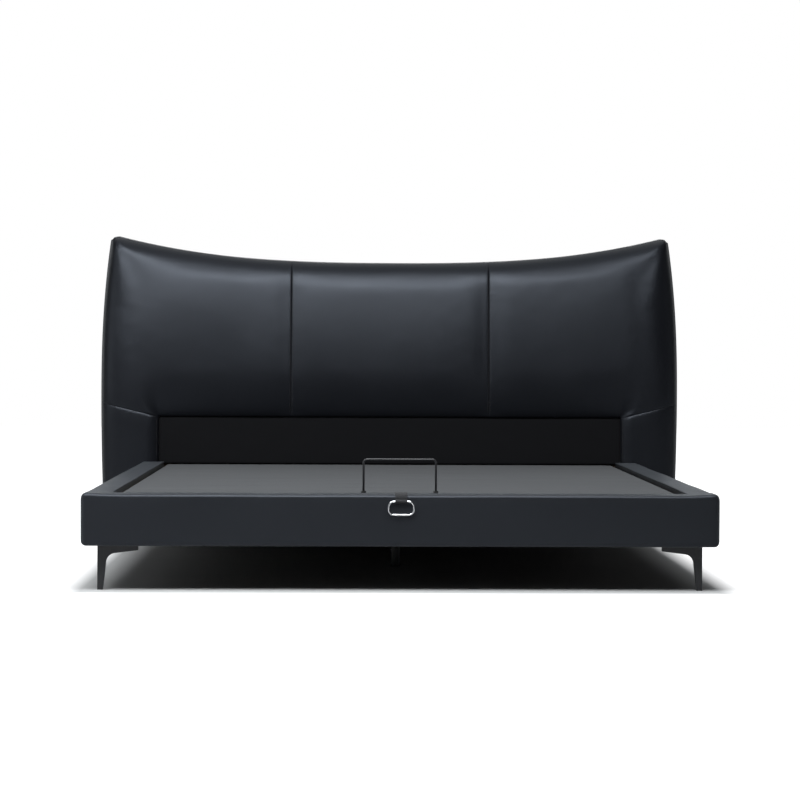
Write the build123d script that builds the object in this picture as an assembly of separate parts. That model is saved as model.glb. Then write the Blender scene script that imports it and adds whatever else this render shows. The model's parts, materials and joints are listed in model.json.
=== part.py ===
from build123d import *
import math
import os

# Upholstered low bed with a lifting mattress platform, in millimetres.
# Frame: origin on the floor under the middle of the bed, +X to the right seen from the foot end,
# +Y towards the headboard, +Z up.

# ---- overall sizes -------------------------------------------------------------------------
overall_length = 2310.0        # front of the pull strap to the back of the headboard
frame_width = 2000.0           # over the side rails
rail_bottom = 141.0            # clear height under the rails
rail_height = 164.0
rail_width = 92.0

# ---- rails ---------------------------------------------------------------------------------
rail_round = 13.0              # soft edge of the upholstered rails
core_thick = 28.0              # board inside a rail
core_top_cover = 17.0          # padding over the top of the core
inner_skin = 4.0               # leather and felt on the inner face of a rail

# ---- headboard -----------------------------------------------------------------------------
headboard_depth = 225.0        # wing face to the rearmost point of the roll
recess_depth = 40.0            # wing face to the face of the woven recess panel
recess_side = 26.0             # inner face of a side rail to the side of the recess
recess_top = 484.0
recess_platform_gap = 3.0      # top of the platform to the lower edge of the recess panel
recess_fabric = 3.0
recess_board = 12.0
mitre_rise = 56.0              # rise of the mitre seam from the recess corner to the outer edge
headboard_bottom = 30.0
side_height_shares = (0.231, 0.552, 0.791, 0.923, 0.977)
side_overhangs = (165.0, 165.0, 168.0, 160.0, 150.0, 142.0)
ear_overhang = 120.0           # side of the frame to the point of an ear
centre_height = 1111.0         # top edge at the middle
ear_rise = 102.0               # how much higher the ears stand than the middle
ear_power = 2.6                # how late the top edge turns up
seam_share = 0.4               # where the upright seams stand, as a share of half the frame
pad_front = 50.0               # upholstery in front of the headboard frame
wing_front_pad = 55.0
pad_back = 90.0                # rear face of the roll, behind the face of the headboard frame
roll_lip_drop = 111.0          # middle of the top edge to the lower edge of the roll at the back
edge_pad = 26.0                # upholstery round the edge of the back board
lumber_thick = 36.0
back_board_thick = 9.0
lining_thick = 2.0
lining_inset = 8.0
lean_start = 450.0             # height where the headboard starts to curve backwards
lean_radius = 3500.0
lean_margin = 54.0             # how far the curve is drawn past the ears
inner_post_offsets = (-140.0, -40.0)
outer_post_offsets = (70.0, 120.0)
post_drop = 36.0               # middle of the top edge to the top of the posts
cross_rail_width = 80.0
low_cross_rails = (60.0, 500.0)
top_cross_rail_drop = 5.0
glide_size = 34.0

# ---- platform ------------------------------------------------------------------------------
platform_side_gap = 9.0
platform_foot_gap = 9.0
platform_head_gap = 12.0
platform_sink = 13.0           # top of the rails to the top of the platform
cover_thick = 2.0
deck_thick = 9.0
tube_size = 30.0
tube_wall = 1.5
tube_setback = 34.0            # edge of the deck to the side tubes
foot_tube_setback = 46.0       # edge of the deck to the foot tube
head_tube_setback = 8.0
cross_tube_shares = (0.211, 0.396, 0.581, 0.771)
deck_joint_tube = 2            # the cross tube under the joint of the two deck panels
rest_gap = 0.3                 # clearance where the closed platform sits on its ledgers
ledger_width = 40.0
ledger_height = 30.0
ledger_plate_gap = 78.0        # end of a side ledger to the base plate

# ---- lift ----------------------------------------------------------------------------------
pivot_inset = 110.0            # head edge of the platform to the pivot
pivot_drop = 30.0              # top of the platform to the pivot
pivot_pin_radius = 8.0
pivot_clearance = 0.05
boss_radius = 14.0
boss_length = 15.0
arm_thick = 5.0
arm_half_height = 11.0
crank = 100.0                  # pivot to the upper strut pin
strut_reach = 400.0            # pivot to the lower strut pin, along the bed
strut_fall = 80.0              # and down
strut_setback = 22.0           # inner face of a side rail to the plane of the strut
strut_eye_radius = 13.0
strut_eye_thick = 10.0
strut_pin_radius = 4.0
cylinder_radius = 11.0
cylinder_bore = 8.0
cylinder_length = 190.0
cylinder_start = 20.0
neck_radius = 4.0
gland_length = 10.0
rod_radius = 4.0
rod_tail = 138.0               # distance of the piston from the lower pin when closed
piston_length = 12.0
piston_clearance = 0.1
slot_radius = 8.45             # oversize eye where the closed linkage is opened
slot_shift_along = -2.77       # its centre from the upper pin, along the strut
slot_shift_across = 2.87       # and square to it
slot_rim = 4.0
pin_gap = 1.0
pin_head = 3.0
pin_head_lip = 2.5
base_plate_thick = 6.0
base_plate_edge = 17.0         # above the pivot and below the lower strut pin
base_plate_margin = 30.0
base_plate_step = 90.0         # pivot to the step in the base plate
base_plate_step_height = 60.0

# ---- under the platform --------------------------------------------------------------------
head_rail_height = 35.0
batten_height = 15.0
batten_width = 40.0
batten_shares = (0.048, 0.281, 0.514, 0.747, 0.964)
floor_thick = 5.0
beam_width = 40.0
beam_height = 30.0
beam_wall = 2.0
centre_leg_wall = 2.0
centre_leg_radius = 14.0
centre_foot_radius = 21.0
centre_foot_height = 6.0
centre_leg_shares = (0.398, 0.779)

# ---- corner legs ---------------------------------------------------------------------------
leg_inset = 49.0
leg_foot = 17.0
leg_reach = 127.0
leg_tip = 17.0
leg_plate = 3.0
leg_plate_length = 138.0
leg_plate_lap = 2.0            # plate past the inner face of the core
leg_throat = (9.0, 42.0)       # inner curve of a leg, from the foot's edge and down from the tip
leg_bend = (17.0, 20.0)
leg_shoulder = (38.0, 9.0)
glide_height = 4.0

# ---- fasteners and brackets ----------------------------------------------------------------
bracket_thick = 3.0
bracket_leg = 60.0
bracket_rises = (23.0, 104.0)  # lower and upper end over the bottom of the rails
bracket_screw_inset = 20.0
bracket_screw_share = 0.6
leg_screw_share = 0.56
plate_screw_offsets = ((60.0, 190.0), (-70.0, 22.0))
plate_screw_rises = (17.0, 45.0)
screw_radius = 2.5
screw_head_radius = 5.0
screw_head_height = 1.4
screw_length = 20.0

# ---- mattress retainer, strap and ring ----------------------------------------------------
retainer_width = 240.0
retainer_height = 114.0
retainer_rod_radius = 3.5
retainer_bend = 12.0
retainer_setback = 233.0       # front face of the foot rail to the retainer
socket_radius = 8.0
socket_height = 9.0
nut_radius = 6.5
nut_height = 6.0
retainer_tail = 3.0            # bar below its nuts
strap_width = 37.0
strap_thick = 2.0
strap_rail_gap = 1.0
strap_deck_inset = 3.0
strap_on_deck = 62.0
strap_patch = 48.0
strap_patch_width = 46.0
ring_wire = 6.0
ring_width = 84.0
ring_height = 48.0
ring_corner = 17.0
ring_bar_drop = 22.0           # top of the foot rail to the bar of the ring
ring_play = 0.3

# ---- places worked out from the sizes ------------------------------------------------------
rail_top = rail_bottom + rail_height
core_top = rail_top - core_top_cover
half_frame = frame_width / 2
hardware_projection = strap_rail_gap + 2 * strap_thick + 2 * ring_play + ring_wire
foot_face = -overall_length / 2 + hardware_projection
foot_inner = foot_face + rail_width
head_back = overall_length / 2
wing_face = head_back - headboard_depth
recess_face = wing_face + recess_depth
lumber_face = recess_face + recess_fabric + recess_board
head_rail_foot = wing_face - rail_width
side_inner = half_frame - rail_width
core_outer_offset = rail_width - inner_skin - core_thick
ear_half_width = half_frame + ear_overhang
ear_height = centre_height + ear_rise
side_heights = [headboard_bottom] + [ear_height * share for share in side_height_shares]
side_half_widths = [half_frame + overhang for overhang in side_overhangs]
centre_pad_half = half_frame * seam_share
recess_half_width = side_inner + recess_side
roll_lip_height = centre_height - roll_lip_drop
lean_angle = math.degrees(math.asin((ear_height + lean_margin - lean_start) / lean_radius))
inner_post = [half_frame + offset for offset in inner_post_offsets]
outer_post = [half_frame + offset for offset in outer_post_offsets]
post_top = centre_height - post_drop
cross_rail_bottoms = (*low_cross_rails, post_top - top_cross_rail_drop - cross_rail_width)
platform_foot = foot_inner + platform_foot_gap
platform_head = recess_face - platform_head_gap
platform_half_width = side_inner - platform_side_gap
platform_top = rail_top - platform_sink
recess_bottom = platform_top + recess_platform_gap
deck_top = platform_top - cover_thick
deck_bottom = deck_top - deck_thick
tube_bottom = deck_bottom - tube_size
tube_outer = platform_half_width - tube_setback
strut_plane = side_inner - strut_setback
cross_tube_ys = [platform_foot + (platform_head - platform_foot) * share for share in cross_tube_shares]
batten_ys = [foot_inner + (head_rail_foot - foot_inner) * share for share in batten_shares]
centre_leg_ys = [foot_inner + (head_rail_foot - foot_inner) * share for share in centre_leg_shares]
bracket_low = rail_bottom + bracket_rises[0]
bracket_high = rail_bottom + bracket_rises[1]
pivot_y = platform_head - pivot_inset
pivot_z = platform_top - pivot_drop
lower_pin_y = pivot_y - strut_reach
lower_pin_z = pivot_z - strut_fall
upper_pin_y = pivot_y - crank
upper_pin_z = pivot_z
strut_length = math.hypot(upper_pin_y - lower_pin_y, upper_pin_z - lower_pin_z)
strut_angle = math.degrees(math.atan2(upper_pin_z - lower_pin_z, upper_pin_y - lower_pin_y))
base_plate_top = pivot_z + base_plate_edge
base_plate_bottom = lower_pin_z - base_plate_edge
side_ledger_end = lower_pin_y - base_plate_margin - ledger_plate_gap
wide = 2 * max(side_half_widths)
tall = 2 * ear_height


def block(x0, x1, y0, y1, z0, z1):
    """Box between two corners."""
    middle = ((x0 + x1) / 2, (y0 + y1) / 2, (z0 + z1) / 2)
    return Pos(*middle) * Box(abs(x1 - x0), abs(y1 - y0), abs(z1 - z0))


def rod_x(radius, x0, x1, y, z):
    """Round bar along X."""
    return Pos((x0 + x1) / 2, y, z) * Rot(0, 90, 0) * Cylinder(radius, abs(x1 - x0))


def rod_z(radius, z0, z1, x, y):
    """Round bar along Z."""
    return Pos(x, y, (z0 + z1) / 2) * Cylinder(radius, abs(z1 - z0))


def tube_y(x0, x1, y0, y1, z0, z1, wall):
    """Rectangular tube along Y, open at its ends."""
    x_low, x_high = min(x0, x1), max(x0, x1)
    inner = block(x_low + wall, x_high - wall, y0, y1, z0 + wall, z1 - wall)
    return block(x_low, x_high, y0, y1, z0, z1) - inner


def tube_x(x0, x1, y0, y1, z0, z1, wall):
    """Rectangular tube along X, open at its ends."""
    inner = block(x0, x1, y0 + wall, y1 - wall, z0 + wall, z1 - wall)
    return block(x0, x1, y0, y1, z0, z1) - inner


def save(shape, name):
    """Write one sub-part."""
    solids = shape.solids()
    export_step(solids[0] if len(solids) == 1 else Compound(solids), f"parts/{name}.step")


def side_name(side):
    """Name of the side that a sign of X stands for."""
    return "left" if side < 0 else "right"


def top_edge(x):
    """Height of the headboard's concave top edge."""
    return centre_height + ear_rise * (abs(x) / ear_half_width) ** ear_power


def headboard_outline(inset):
    """Headboard seen from the front, drawn in by an inset and pushed through the whole depth."""
    ear_x = ear_half_width - inset
    right = [(w - inset, h) for w, h in zip(side_half_widths, side_heights)]
    right[-1] = (right[-1][0], right[-1][1] - inset)
    left = [(-x, z) for x, z in reversed(right)]
    steps = 12
    xs = [ear_x * (1 - 2 * i / steps) for i in range(steps + 1)]
    top = [(x, top_edge(x) - inset) for x in xs]
    edges = [
        Line(left[-1], right[0]),
        Spline(*right),
        Line(right[-1], top[0]),
        Spline(*top),
        Line(top[-1], left[0]),
        Spline(*left),
    ]
    face = make_face([Plane.XZ * edge for edge in edges])
    return extrude(face, amount=tall, both=True)


def lean_band(front, back):
    """Sheet that stands upright, then curves backwards, between two depths behind the lumber face."""
    centre_y = lumber_face + lean_radius
    points = []
    for depth in (front, back):
        radius = lean_radius - depth
        arc = []
        for share in (0.0, 0.5, 1.0):
            turn = math.radians(lean_angle * share)
            arc.append((centre_y - radius * math.cos(turn), lean_start + radius * math.sin(turn)))
        points.append(arc)
    (a1, a2, a3), (b1, b2, b3) = points
    a0 = (a1[0], headboard_bottom)
    b0 = (b1[0], headboard_bottom)
    edges = [
        Line(a0, a1),
        ThreePointArc(a1, a2, a3),
        Line(a3, b3),
        ThreePointArc(b3, b2, b1),
        Line(b1, b0),
        Line(b0, a0),
    ]
    face = make_face([Plane.YZ * edge for edge in edges])
    return extrude(face, amount=wide, both=True)


def mitre_wedge(side):
    """Region beside the recess, below the slanting seam."""
    slope = mitre_rise / (max(side_half_widths) - recess_half_width)
    rise = recess_top + slope * (wide - recess_half_width)
    points = [
        (side * recess_half_width, recess_top),
        (side * wide, rise),
        (side * wide, headboard_bottom),
        (side * recess_half_width, headboard_bottom),
    ]
    face = make_face(Plane.XZ * Polyline(*points, close=True))
    return extrude(face, amount=tall, both=True)


def fastener(point, direction):
    """Countersunk wood screw: a low head and a plain shank along a row axis."""
    x, y, z = point
    dx, dy, dz = direction
    turned = Plane(origin=(x, y, z), z_dir=(dx, dy, dz))
    head = Pos(0, 0, -screw_head_height / 2) * Cylinder(screw_head_radius, screw_head_height)
    shank = Pos(0, 0, screw_length / 2) * Cylinder(screw_radius, screw_length)
    return turned * (head + shank)


os.makedirs("parts", exist_ok=True)

# ---- fasteners that pass through more than one piece ---------------------------------------
leg_screws = []
for side in (-1, 1):
    for end, edge in ((-1, foot_face), (1, wing_face)):
        core_middle = rail_width - inner_skin - core_thick / 2
        far_screw = leg_inset + leg_reach * leg_screw_share
        for along_x, along_y in (
            (core_middle, core_middle),
            (far_screw, core_middle),
            (core_middle, far_screw),
        ):
            x = side * (half_frame - along_x)
            y = edge - end * along_y
            leg_screws.append(fastener((x, y, rail_bottom - leg_plate), (0, 0, 1)))

plate_screws = []
pin_offsets, pivot_offsets = plate_screw_offsets
plate_screw_ys = [lower_pin_y + offset for offset in pin_offsets]
plate_screw_ys += [pivot_y + offset for offset in pivot_offsets]
plate_screw_zs = [base_plate_bottom + rise for rise in plate_screw_rises]
for side in (-1, 1):
    for y in plate_screw_ys:
        for z in plate_screw_zs:
            x = side * (side_inner - base_plate_thick)
            plate_screws.append(fastener((x, y, z), (side, 0, 0)))

bracket_bolts = []
bracket_zs = (bracket_low + bracket_screw_inset, bracket_high - bracket_screw_inset)
bracket_reach = bracket_leg * bracket_screw_share
for side in (-1, 1):
    for z in bracket_zs:
        x = side * (side_inner - bracket_thick)
        y = foot_inner + bracket_reach
        bracket_bolts.append(fastener((x, y, z), (side, 0, 0)))
        x = side * (side_inner - bracket_reach)
        bracket_bolts.append(fastener((x, foot_inner + bracket_thick, z), (0, -1, 0)))
        x = side * (side_inner + inner_skin - bracket_thick)
        y = (wing_face + lumber_face) / 2
        bracket_bolts.append(fastener((x, y, z), (side, 0, 0)))
        x = side * (side_inner + inner_skin - bracket_reach)
        bracket_bolts.append(fastener((x, lumber_face - bracket_thick, z), (0, 1, 0)))

save(Compound(leg_screws), "leg_screws")
save(Compound(plate_screws), "base_plate_screws")
save(Compound(bracket_bolts), "bracket_screws")


def drilled(shape, tools):
    """Cut the holes of the fasteners whose boxes meet the piece."""
    room = shape.bounding_box()
    for tool in tools:
        reach = tool.bounding_box()
        apart = (
            reach.min.X > room.max.X or reach.max.X < room.min.X
            or reach.min.Y > room.max.Y or reach.max.Y < room.min.Y
            or reach.min.Z > room.max.Z or reach.max.Z < room.min.Z
        )
        if not apart:
            shape = shape - tool
    return shape


# ---- rails ---------------------------------------------------------------------------------
core_y0 = foot_face + core_outer_offset
foot_core = block(
    -(half_frame - core_outer_offset), half_frame - core_outer_offset,
    core_y0, core_y0 + core_thick, rail_bottom, core_top)
side_cores = {}
for side in (-1, 1):
    side_cores[side] = block(
        side * (side_inner + inner_skin), side * (half_frame - core_outer_offset),
        foot_inner - inner_skin, lumber_face, rail_bottom, core_top)

foot_pad = block(-half_frame, half_frame, foot_face, foot_inner, rail_bottom, rail_top)
foot_pad = fillet(foot_pad.edges(), rail_round)
foot_pad = foot_pad - foot_core - side_cores[-1] - side_cores[1]
save(drilled(foot_core, leg_screws + bracket_bolts), "foot_rail_core")
save(drilled(foot_pad, leg_screws + bracket_bolts), "foot_rail_pad")

for side in (-1, 1):
    pad = block(side * side_inner, side * half_frame, foot_inner, wing_face, rail_bottom, rail_top)
    pad = fillet(pad.edges().filter_by(Axis.Y), rail_round) - side_cores[side]
    screws = leg_screws + plate_screws + bracket_bolts
    save(drilled(side_cores[side], screws), f"{side_name(side)}_rail_core")
    save(drilled(pad, screws), f"{side_name(side)}_rail_pad")

# ---- ledgers, cross rail, beam and storage floor ------------------------------------------
ledger_top = deck_bottom - rest_gap
ledgers = []
for side in (-1, 1):
    ledgers.append(block(
        side * (side_inner - ledger_width), side * side_inner,
        foot_inner, side_ledger_end, ledger_top - ledger_height, ledger_top))
ledgers.append(block(
    -(side_inner - ledger_width), side_inner - ledger_width,
    foot_inner, foot_inner + ledger_width, ledger_top - ledger_height, ledger_top))
save(Compound(ledgers), "platform_ledgers")

head_rail = block(
    -side_inner, side_inner, head_rail_foot, wing_face,
    rail_bottom, rail_bottom + head_rail_height)
save(drilled(head_rail, leg_screws), "head_cross_rail")

beam = tube_y(
    -beam_width / 2, beam_width / 2, foot_inner, head_rail_foot,
    rail_bottom, rail_bottom + beam_height, beam_wall)
save(beam, "centre_beam")

battens = []
floor_bottom = rail_bottom + batten_height
for side in (-1, 1):
    for y in batten_ys:
        battens.append(block(
            side * beam_width / 2, side * side_inner,
            y - batten_width / 2, y + batten_width / 2, rail_bottom, floor_bottom))
    panel = block(
        side * beam_width / 2, side * side_inner,
        foot_inner, head_rail_foot, floor_bottom, floor_bottom + floor_thick)
    save(panel, f"{side_name(side)}_storage_floor")
save(Compound(battens), "floor_battens")

centre_legs = []
centre_feet = []
for y in centre_leg_ys:
    leg_tube = rod_z(centre_leg_radius, centre_foot_height, rail_bottom, 0, y)
    leg_bore = rod_z(centre_leg_radius - centre_leg_wall, centre_foot_height, rail_bottom, 0, y)
    centre_legs.append(leg_tube - leg_bore)
    centre_feet.append(rod_z(centre_foot_radius, 0, centre_foot_height, 0, y))
save(Compound(centre_legs), "centre_legs")
save(Compound(centre_feet), "centre_leg_feet")


# ---- corner legs ---------------------------------------------------------------------------
def leg_blade():
    """One blade of a corner leg, from its outer edge at X 0 inwards, standing on its glide."""
    foot_z = glide_height
    top_z = rail_bottom - leg_plate
    tip_z = rail_bottom - leg_tip
    throat, bend, shoulder = [
        (leg_foot + across, tip_z - down) for across, down in (leg_throat, leg_bend, leg_shoulder)]
    edges = [
        Line((0, foot_z), (leg_foot, foot_z)),
        Line((leg_foot, foot_z), throat),
        ThreePointArc(throat, bend, shoulder),
        Line(shoulder, (leg_reach, tip_z)),
        Line((leg_reach, tip_z), (leg_reach, top_z)),
        Line((leg_reach, top_z), (0, top_z)),
        Line((0, top_z), (0, foot_z)),
    ]
    face = make_face([Plane.XZ * edge for edge in edges])
    return Pos(0, leg_foot / 2, 0) * extrude(face, amount=leg_foot / 2, both=True)


def corner_leg():
    """Two equal blades at a right angle under an L-shaped plate, for the corner at X 0, Y 0."""
    blade = leg_blade()
    other = Rot(0, 0, 90) * mirror(blade, Plane.XZ)
    arm = core_outer_offset + core_thick + leg_plate_lap - leg_inset
    plate = block(0, leg_plate_length, 0, arm, rail_bottom - leg_plate, rail_bottom)
    plate = plate + block(0, arm, 0, leg_plate_length, rail_bottom - leg_plate, rail_bottom)
    return blade + other + plate


leg_glides = []
for side in (-1, 1):
    for end, edge, place in ((-1, foot_face, "front"), (1, wing_face, "rear")):
        leg = corner_leg()
        if side > 0:
            leg = mirror(leg, Plane.YZ)
        if end > 0:
            leg = mirror(leg, Plane.XZ)
        corner_x = side * (half_frame - leg_inset)
        corner_y = edge - end * leg_inset
        leg = Pos(corner_x, corner_y, 0) * leg
        save(drilled(leg, leg_screws), f"{place}_{side_name(side)}_leg")
        leg_glides.append(block(
            corner_x, corner_x - side * leg_foot,
            corner_y, corner_y - end * leg_foot, 0, glide_height))
save(Compound(leg_glides), "leg_glides")

# ---- brackets ------------------------------------------------------------------------------
foot_brackets = []
head_brackets = []
for side in (-1, 1):
    face_x = side_inner
    angle = block(
        side * (face_x - bracket_thick), side * face_x,
        foot_inner, foot_inner + bracket_leg, bracket_low, bracket_high)
    angle = angle + block(
        side * (face_x - bracket_leg), side * face_x,
        foot_inner, foot_inner + bracket_thick, bracket_low, bracket_high)
    foot_brackets.append(drilled(angle, bracket_bolts))
    face_x = side_inner + inner_skin
    angle = block(
        side * (face_x - bracket_thick), side * face_x,
        wing_face, lumber_face, bracket_low, bracket_high)
    angle = angle + block(
        side * (face_x - bracket_leg), side * face_x,
        lumber_face - bracket_thick, lumber_face, bracket_low, bracket_high)
    head_brackets.append(drilled(angle, bracket_bolts))
save(Compound(foot_brackets), "foot_corner_brackets")
save(Compound(head_brackets), "head_brackets")

# ---- headboard -----------------------------------------------------------------------------
outline = headboard_outline(0)
carcass = lean_band(0, lumber_thick + back_board_thick) & headboard_outline(edge_pad)
lumber = lean_band(0, lumber_thick)

posts = []
glides = []
for side in (-1, 1):
    for x0, x1 in (inner_post, outer_post):
        post = lumber & block(side * x0, side * x1, 0, head_back * 2, headboard_bottom, post_top)
        posts.append(drilled(post, bracket_bolts))
        middle = side * (x0 + x1) / 2
        y_middle = lumber_face + lumber_thick / 2
        glides.append(block(
            middle - glide_size / 2, middle + glide_size / 2,
            y_middle - glide_size / 2, y_middle + glide_size / 2, 0, headboard_bottom))
save(Compound(posts), "headboard_posts")
save(Compound(glides), "headboard_glides")

bays = ((-outer_post[0], -inner_post[1]), (-inner_post[0], inner_post[0]), (inner_post[1], outer_post[0]))
cross_rails = []
for z in cross_rail_bottoms:
    for x0, x1 in bays:
        cross_rails.append(lumber & block(x0, x1, 0, head_back * 2, z, z + cross_rail_width))
save(Compound(cross_rails), "headboard_cross_rails")

back_board = lean_band(lumber_thick, lumber_thick + back_board_thick) & headboard_outline(edge_pad)
save(back_board, "headboard_back_board")
carcass_back = lumber_thick + back_board_thick
below_lip = block(-wide, wide, 0, head_back * 2, headboard_bottom, roll_lip_height)
lining = lean_band(carcass_back, carcass_back + lining_thick) & headboard_outline(lining_inset) & below_lip
save(lining, "headboard_back_lining")

recess_board_solid = block(
    -recess_half_width, recess_half_width,
    recess_face + recess_fabric, lumber_face, recess_bottom, recess_top)
save(recess_board_solid, "recess_board")
recess_panel = block(
    -recess_half_width, recess_half_width,
    recess_face, recess_face + recess_fabric, recess_bottom, recess_top)
save(recess_panel, "recess_fabric_panel")

cap = lean_band(-pad_front, pad_back) & outline
cap = cap & block(-wide, wide, 0, head_back, recess_top, tall)
cap = cap - carcass
behind = lean_band(carcass_back, pad_back * 2)
cap = cap - (behind & block(-wide, wide, 0, head_back * 2, 0, roll_lip_height))
centre_pad = cap & block(
    -centre_pad_half, centre_pad_half, 0, head_back, recess_top, tall)
save(centre_pad, "headboard_centre_pad")

wing = lean_band(-wing_front_pad, carcass_back) & outline
wing = wing - carcass
for side in (-1, 1):
    upper = cap & block(
        side * centre_pad_half, side * wide, 0, head_back, recess_top, tall)
    upper = upper - mitre_wedge(side)
    save(upper, f"headboard_{side_name(side)}_pad")
    lower = wing & mitre_wedge(side)
    lower = lower - side_cores[side]
    save(drilled(lower, bracket_bolts), f"{side_name(side)}_wing_pad")

# ---- platform ------------------------------------------------------------------------------
retainer_y = foot_face + retainer_setback
retainer_leg_x = retainer_width / 2 - retainer_rod_radius
retainer_bottom = deck_bottom - nut_height - retainer_tail
retainer_top = platform_top + retainer_height - retainer_rod_radius
rod_holes = []
for side in (-1, 1):
    rod_holes.append(rod_z(
        retainer_rod_radius, retainer_bottom, retainer_top - retainer_bend,
        side * retainer_leg_x, retainer_y))

cover = block(
    -platform_half_width, platform_half_width, platform_foot, platform_head, deck_bottom, platform_top)
deck = block(
    -(platform_half_width - cover_thick), platform_half_width - cover_thick,
    platform_foot + cover_thick, platform_head - cover_thick, deck_bottom, deck_top)
cover = drilled(cover - deck, rod_holes)
save(cover, "platform_cover")
deck_split = cross_tube_ys[deck_joint_tube]
half = deck & block(-wide, wide, -overall_length, deck_split, deck_bottom, deck_top)
save(drilled(half, rod_holes), "foot_deck_panel")
half = deck & block(-wide, wide, deck_split, overall_length, deck_bottom, deck_top)
save(half, "head_deck_panel")

foot_tube_y = platform_foot + foot_tube_setback
head_tube_y = platform_head - head_tube_setback
side_tubes = []
for side in (-1, 1):
    side_tubes.append(tube_y(
        side * tube_outer, side * (tube_outer - tube_size),
        foot_tube_y, head_tube_y, tube_bottom, deck_bottom, tube_wall))
save(Compound(side_tubes), "platform_side_tubes")
tube_inner = tube_outer - tube_size
end_tubes = []
for y in (foot_tube_y, head_tube_y - tube_size):
    end_tubes.append(tube_x(
        -tube_inner, tube_inner, y, y + tube_size, tube_bottom, deck_bottom, tube_wall))
save(Compound(end_tubes), "platform_end_tubes")
cross_tubes = []
for y in cross_tube_ys:
    cross_tubes.append(tube_x(
        -tube_inner, tube_inner, y - tube_size / 2, y + tube_size / 2,
        tube_bottom, deck_bottom, tube_wall))
save(Compound(cross_tubes), "platform_cross_tubes")

# ---- lift: base plates, pins, arms and struts ---------------------------------------------
plate_face = side_inner - base_plate_thick
eye_inner = strut_plane - strut_eye_thick / 2
eye_outer = strut_plane + strut_eye_thick / 2
boss_end = tube_outer + arm_thick + boss_length
hinge_pins = []
lower_pins = []
upper_pins = []
for side in (-1, 1):
    name = side_name(side)
    plate = block(
        side * plate_face, side * side_inner,
        lower_pin_y - base_plate_margin, pivot_y + base_plate_margin,
        base_plate_bottom, base_plate_top)
    corner = block(
        side * plate_face, side * side_inner,
        lower_pin_y - base_plate_margin, pivot_y - base_plate_step,
        base_plate_bottom + base_plate_step_height, base_plate_top)
    over_rail = block(
        side * plate_face, side * side_inner, head_rail_foot - rest_gap, wing_face,
        base_plate_bottom, rail_bottom + head_rail_height + rest_gap)
    save(drilled(plate - corner - over_rail, plate_screws), f"{name}_base_plate")
    hinge_pins.append(rod_x(
        pivot_pin_radius, side * plate_face, side * (tube_outer + arm_thick + pin_gap),
        pivot_y, pivot_z))
    lower_pins.append(
        rod_x(strut_pin_radius, side * plate_face, side * (eye_inner - pin_gap),
              lower_pin_y, lower_pin_z)
        + rod_x(strut_pin_radius + pin_head_lip, side * (eye_inner - pin_gap),
                side * (eye_inner - pin_gap - pin_head), lower_pin_y, lower_pin_z))
    arm = block(
        side * tube_outer, side * (tube_outer + arm_thick),
        upper_pin_y - boss_radius, pivot_y + boss_radius,
        pivot_z - arm_half_height, pivot_z + arm_half_height)
    arm = arm + rod_x(
        boss_radius, side * tube_outer, side * boss_end, pivot_y, pivot_z)
    arm = arm - rod_x(
        pivot_pin_radius + pivot_clearance, side * (tube_outer + arm_thick), side * boss_end,
        pivot_y, pivot_z)
    save(arm, f"{name}_lift_arm")
    washer_start = eye_outer + pin_gap / 2
    upper_pins.append(
        rod_x(strut_pin_radius, side * (tube_outer + arm_thick), side * washer_start,
              upper_pin_y, upper_pin_z)
        + rod_x(slot_radius + pin_head_lip, side * washer_start, side * (washer_start + pin_head),
                upper_pin_y, upper_pin_z))
    along = Plane(
        origin=(side * strut_plane, lower_pin_y, lower_pin_z),
        x_dir=(1, 0, 0),
        z_dir=(0, math.cos(math.radians(strut_angle)), math.sin(math.radians(strut_angle))))
    eye = Rot(0, 90, 0) * Cylinder(strut_eye_radius, strut_eye_thick)
    tube = Pos(0, 0, cylinder_start + cylinder_length / 2) * Cylinder(cylinder_radius, cylinder_length)
    neck = Pos(0, 0, cylinder_start / 2) * Cylinder(neck_radius, cylinder_start)
    bore_start = cylinder_start + gland_length
    bore_end = cylinder_start + cylinder_length - gland_length
    bore = Pos(0, 0, (bore_start + bore_end) / 2) * Cylinder(cylinder_bore, bore_end - bore_start)
    gland = Pos(0, 0, bore_end + gland_length / 2) * Cylinder(
        rod_radius + pivot_clearance, gland_length)
    pin_hole = Rot(0, 90, 0) * Cylinder(strut_pin_radius + pivot_clearance, strut_eye_thick)
    save(along * (eye + neck + tube - bore - gland - pin_hole), f"{name}_gas_cylinder")
    slot_z = strut_length + slot_shift_along
    eye_end = Pos(0, -slot_shift_across, slot_z) * Rot(0, 90, 0) * Cylinder(
        slot_radius + slot_rim, strut_eye_thick)
    slot = Pos(0, -slot_shift_across, slot_z) * Rot(0, 90, 0) * Cylinder(slot_radius, strut_eye_thick)
    piston = Pos(0, 0, rod_tail + piston_length / 2) * Cylinder(
        cylinder_bore - piston_clearance, piston_length)
    shaft_end = slot_z - slot_radius
    shaft = Pos(0, 0, (rod_tail + shaft_end) / 2) * Cylinder(rod_radius, shaft_end - rod_tail)
    save(along * (eye_end + shaft + piston - slot), f"{name}_gas_rod")
save(Compound(hinge_pins), "hinge_pins")
save(Compound(lower_pins), "lower_strut_pins")
save(Compound(upper_pins), "upper_strut_pins")

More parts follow.
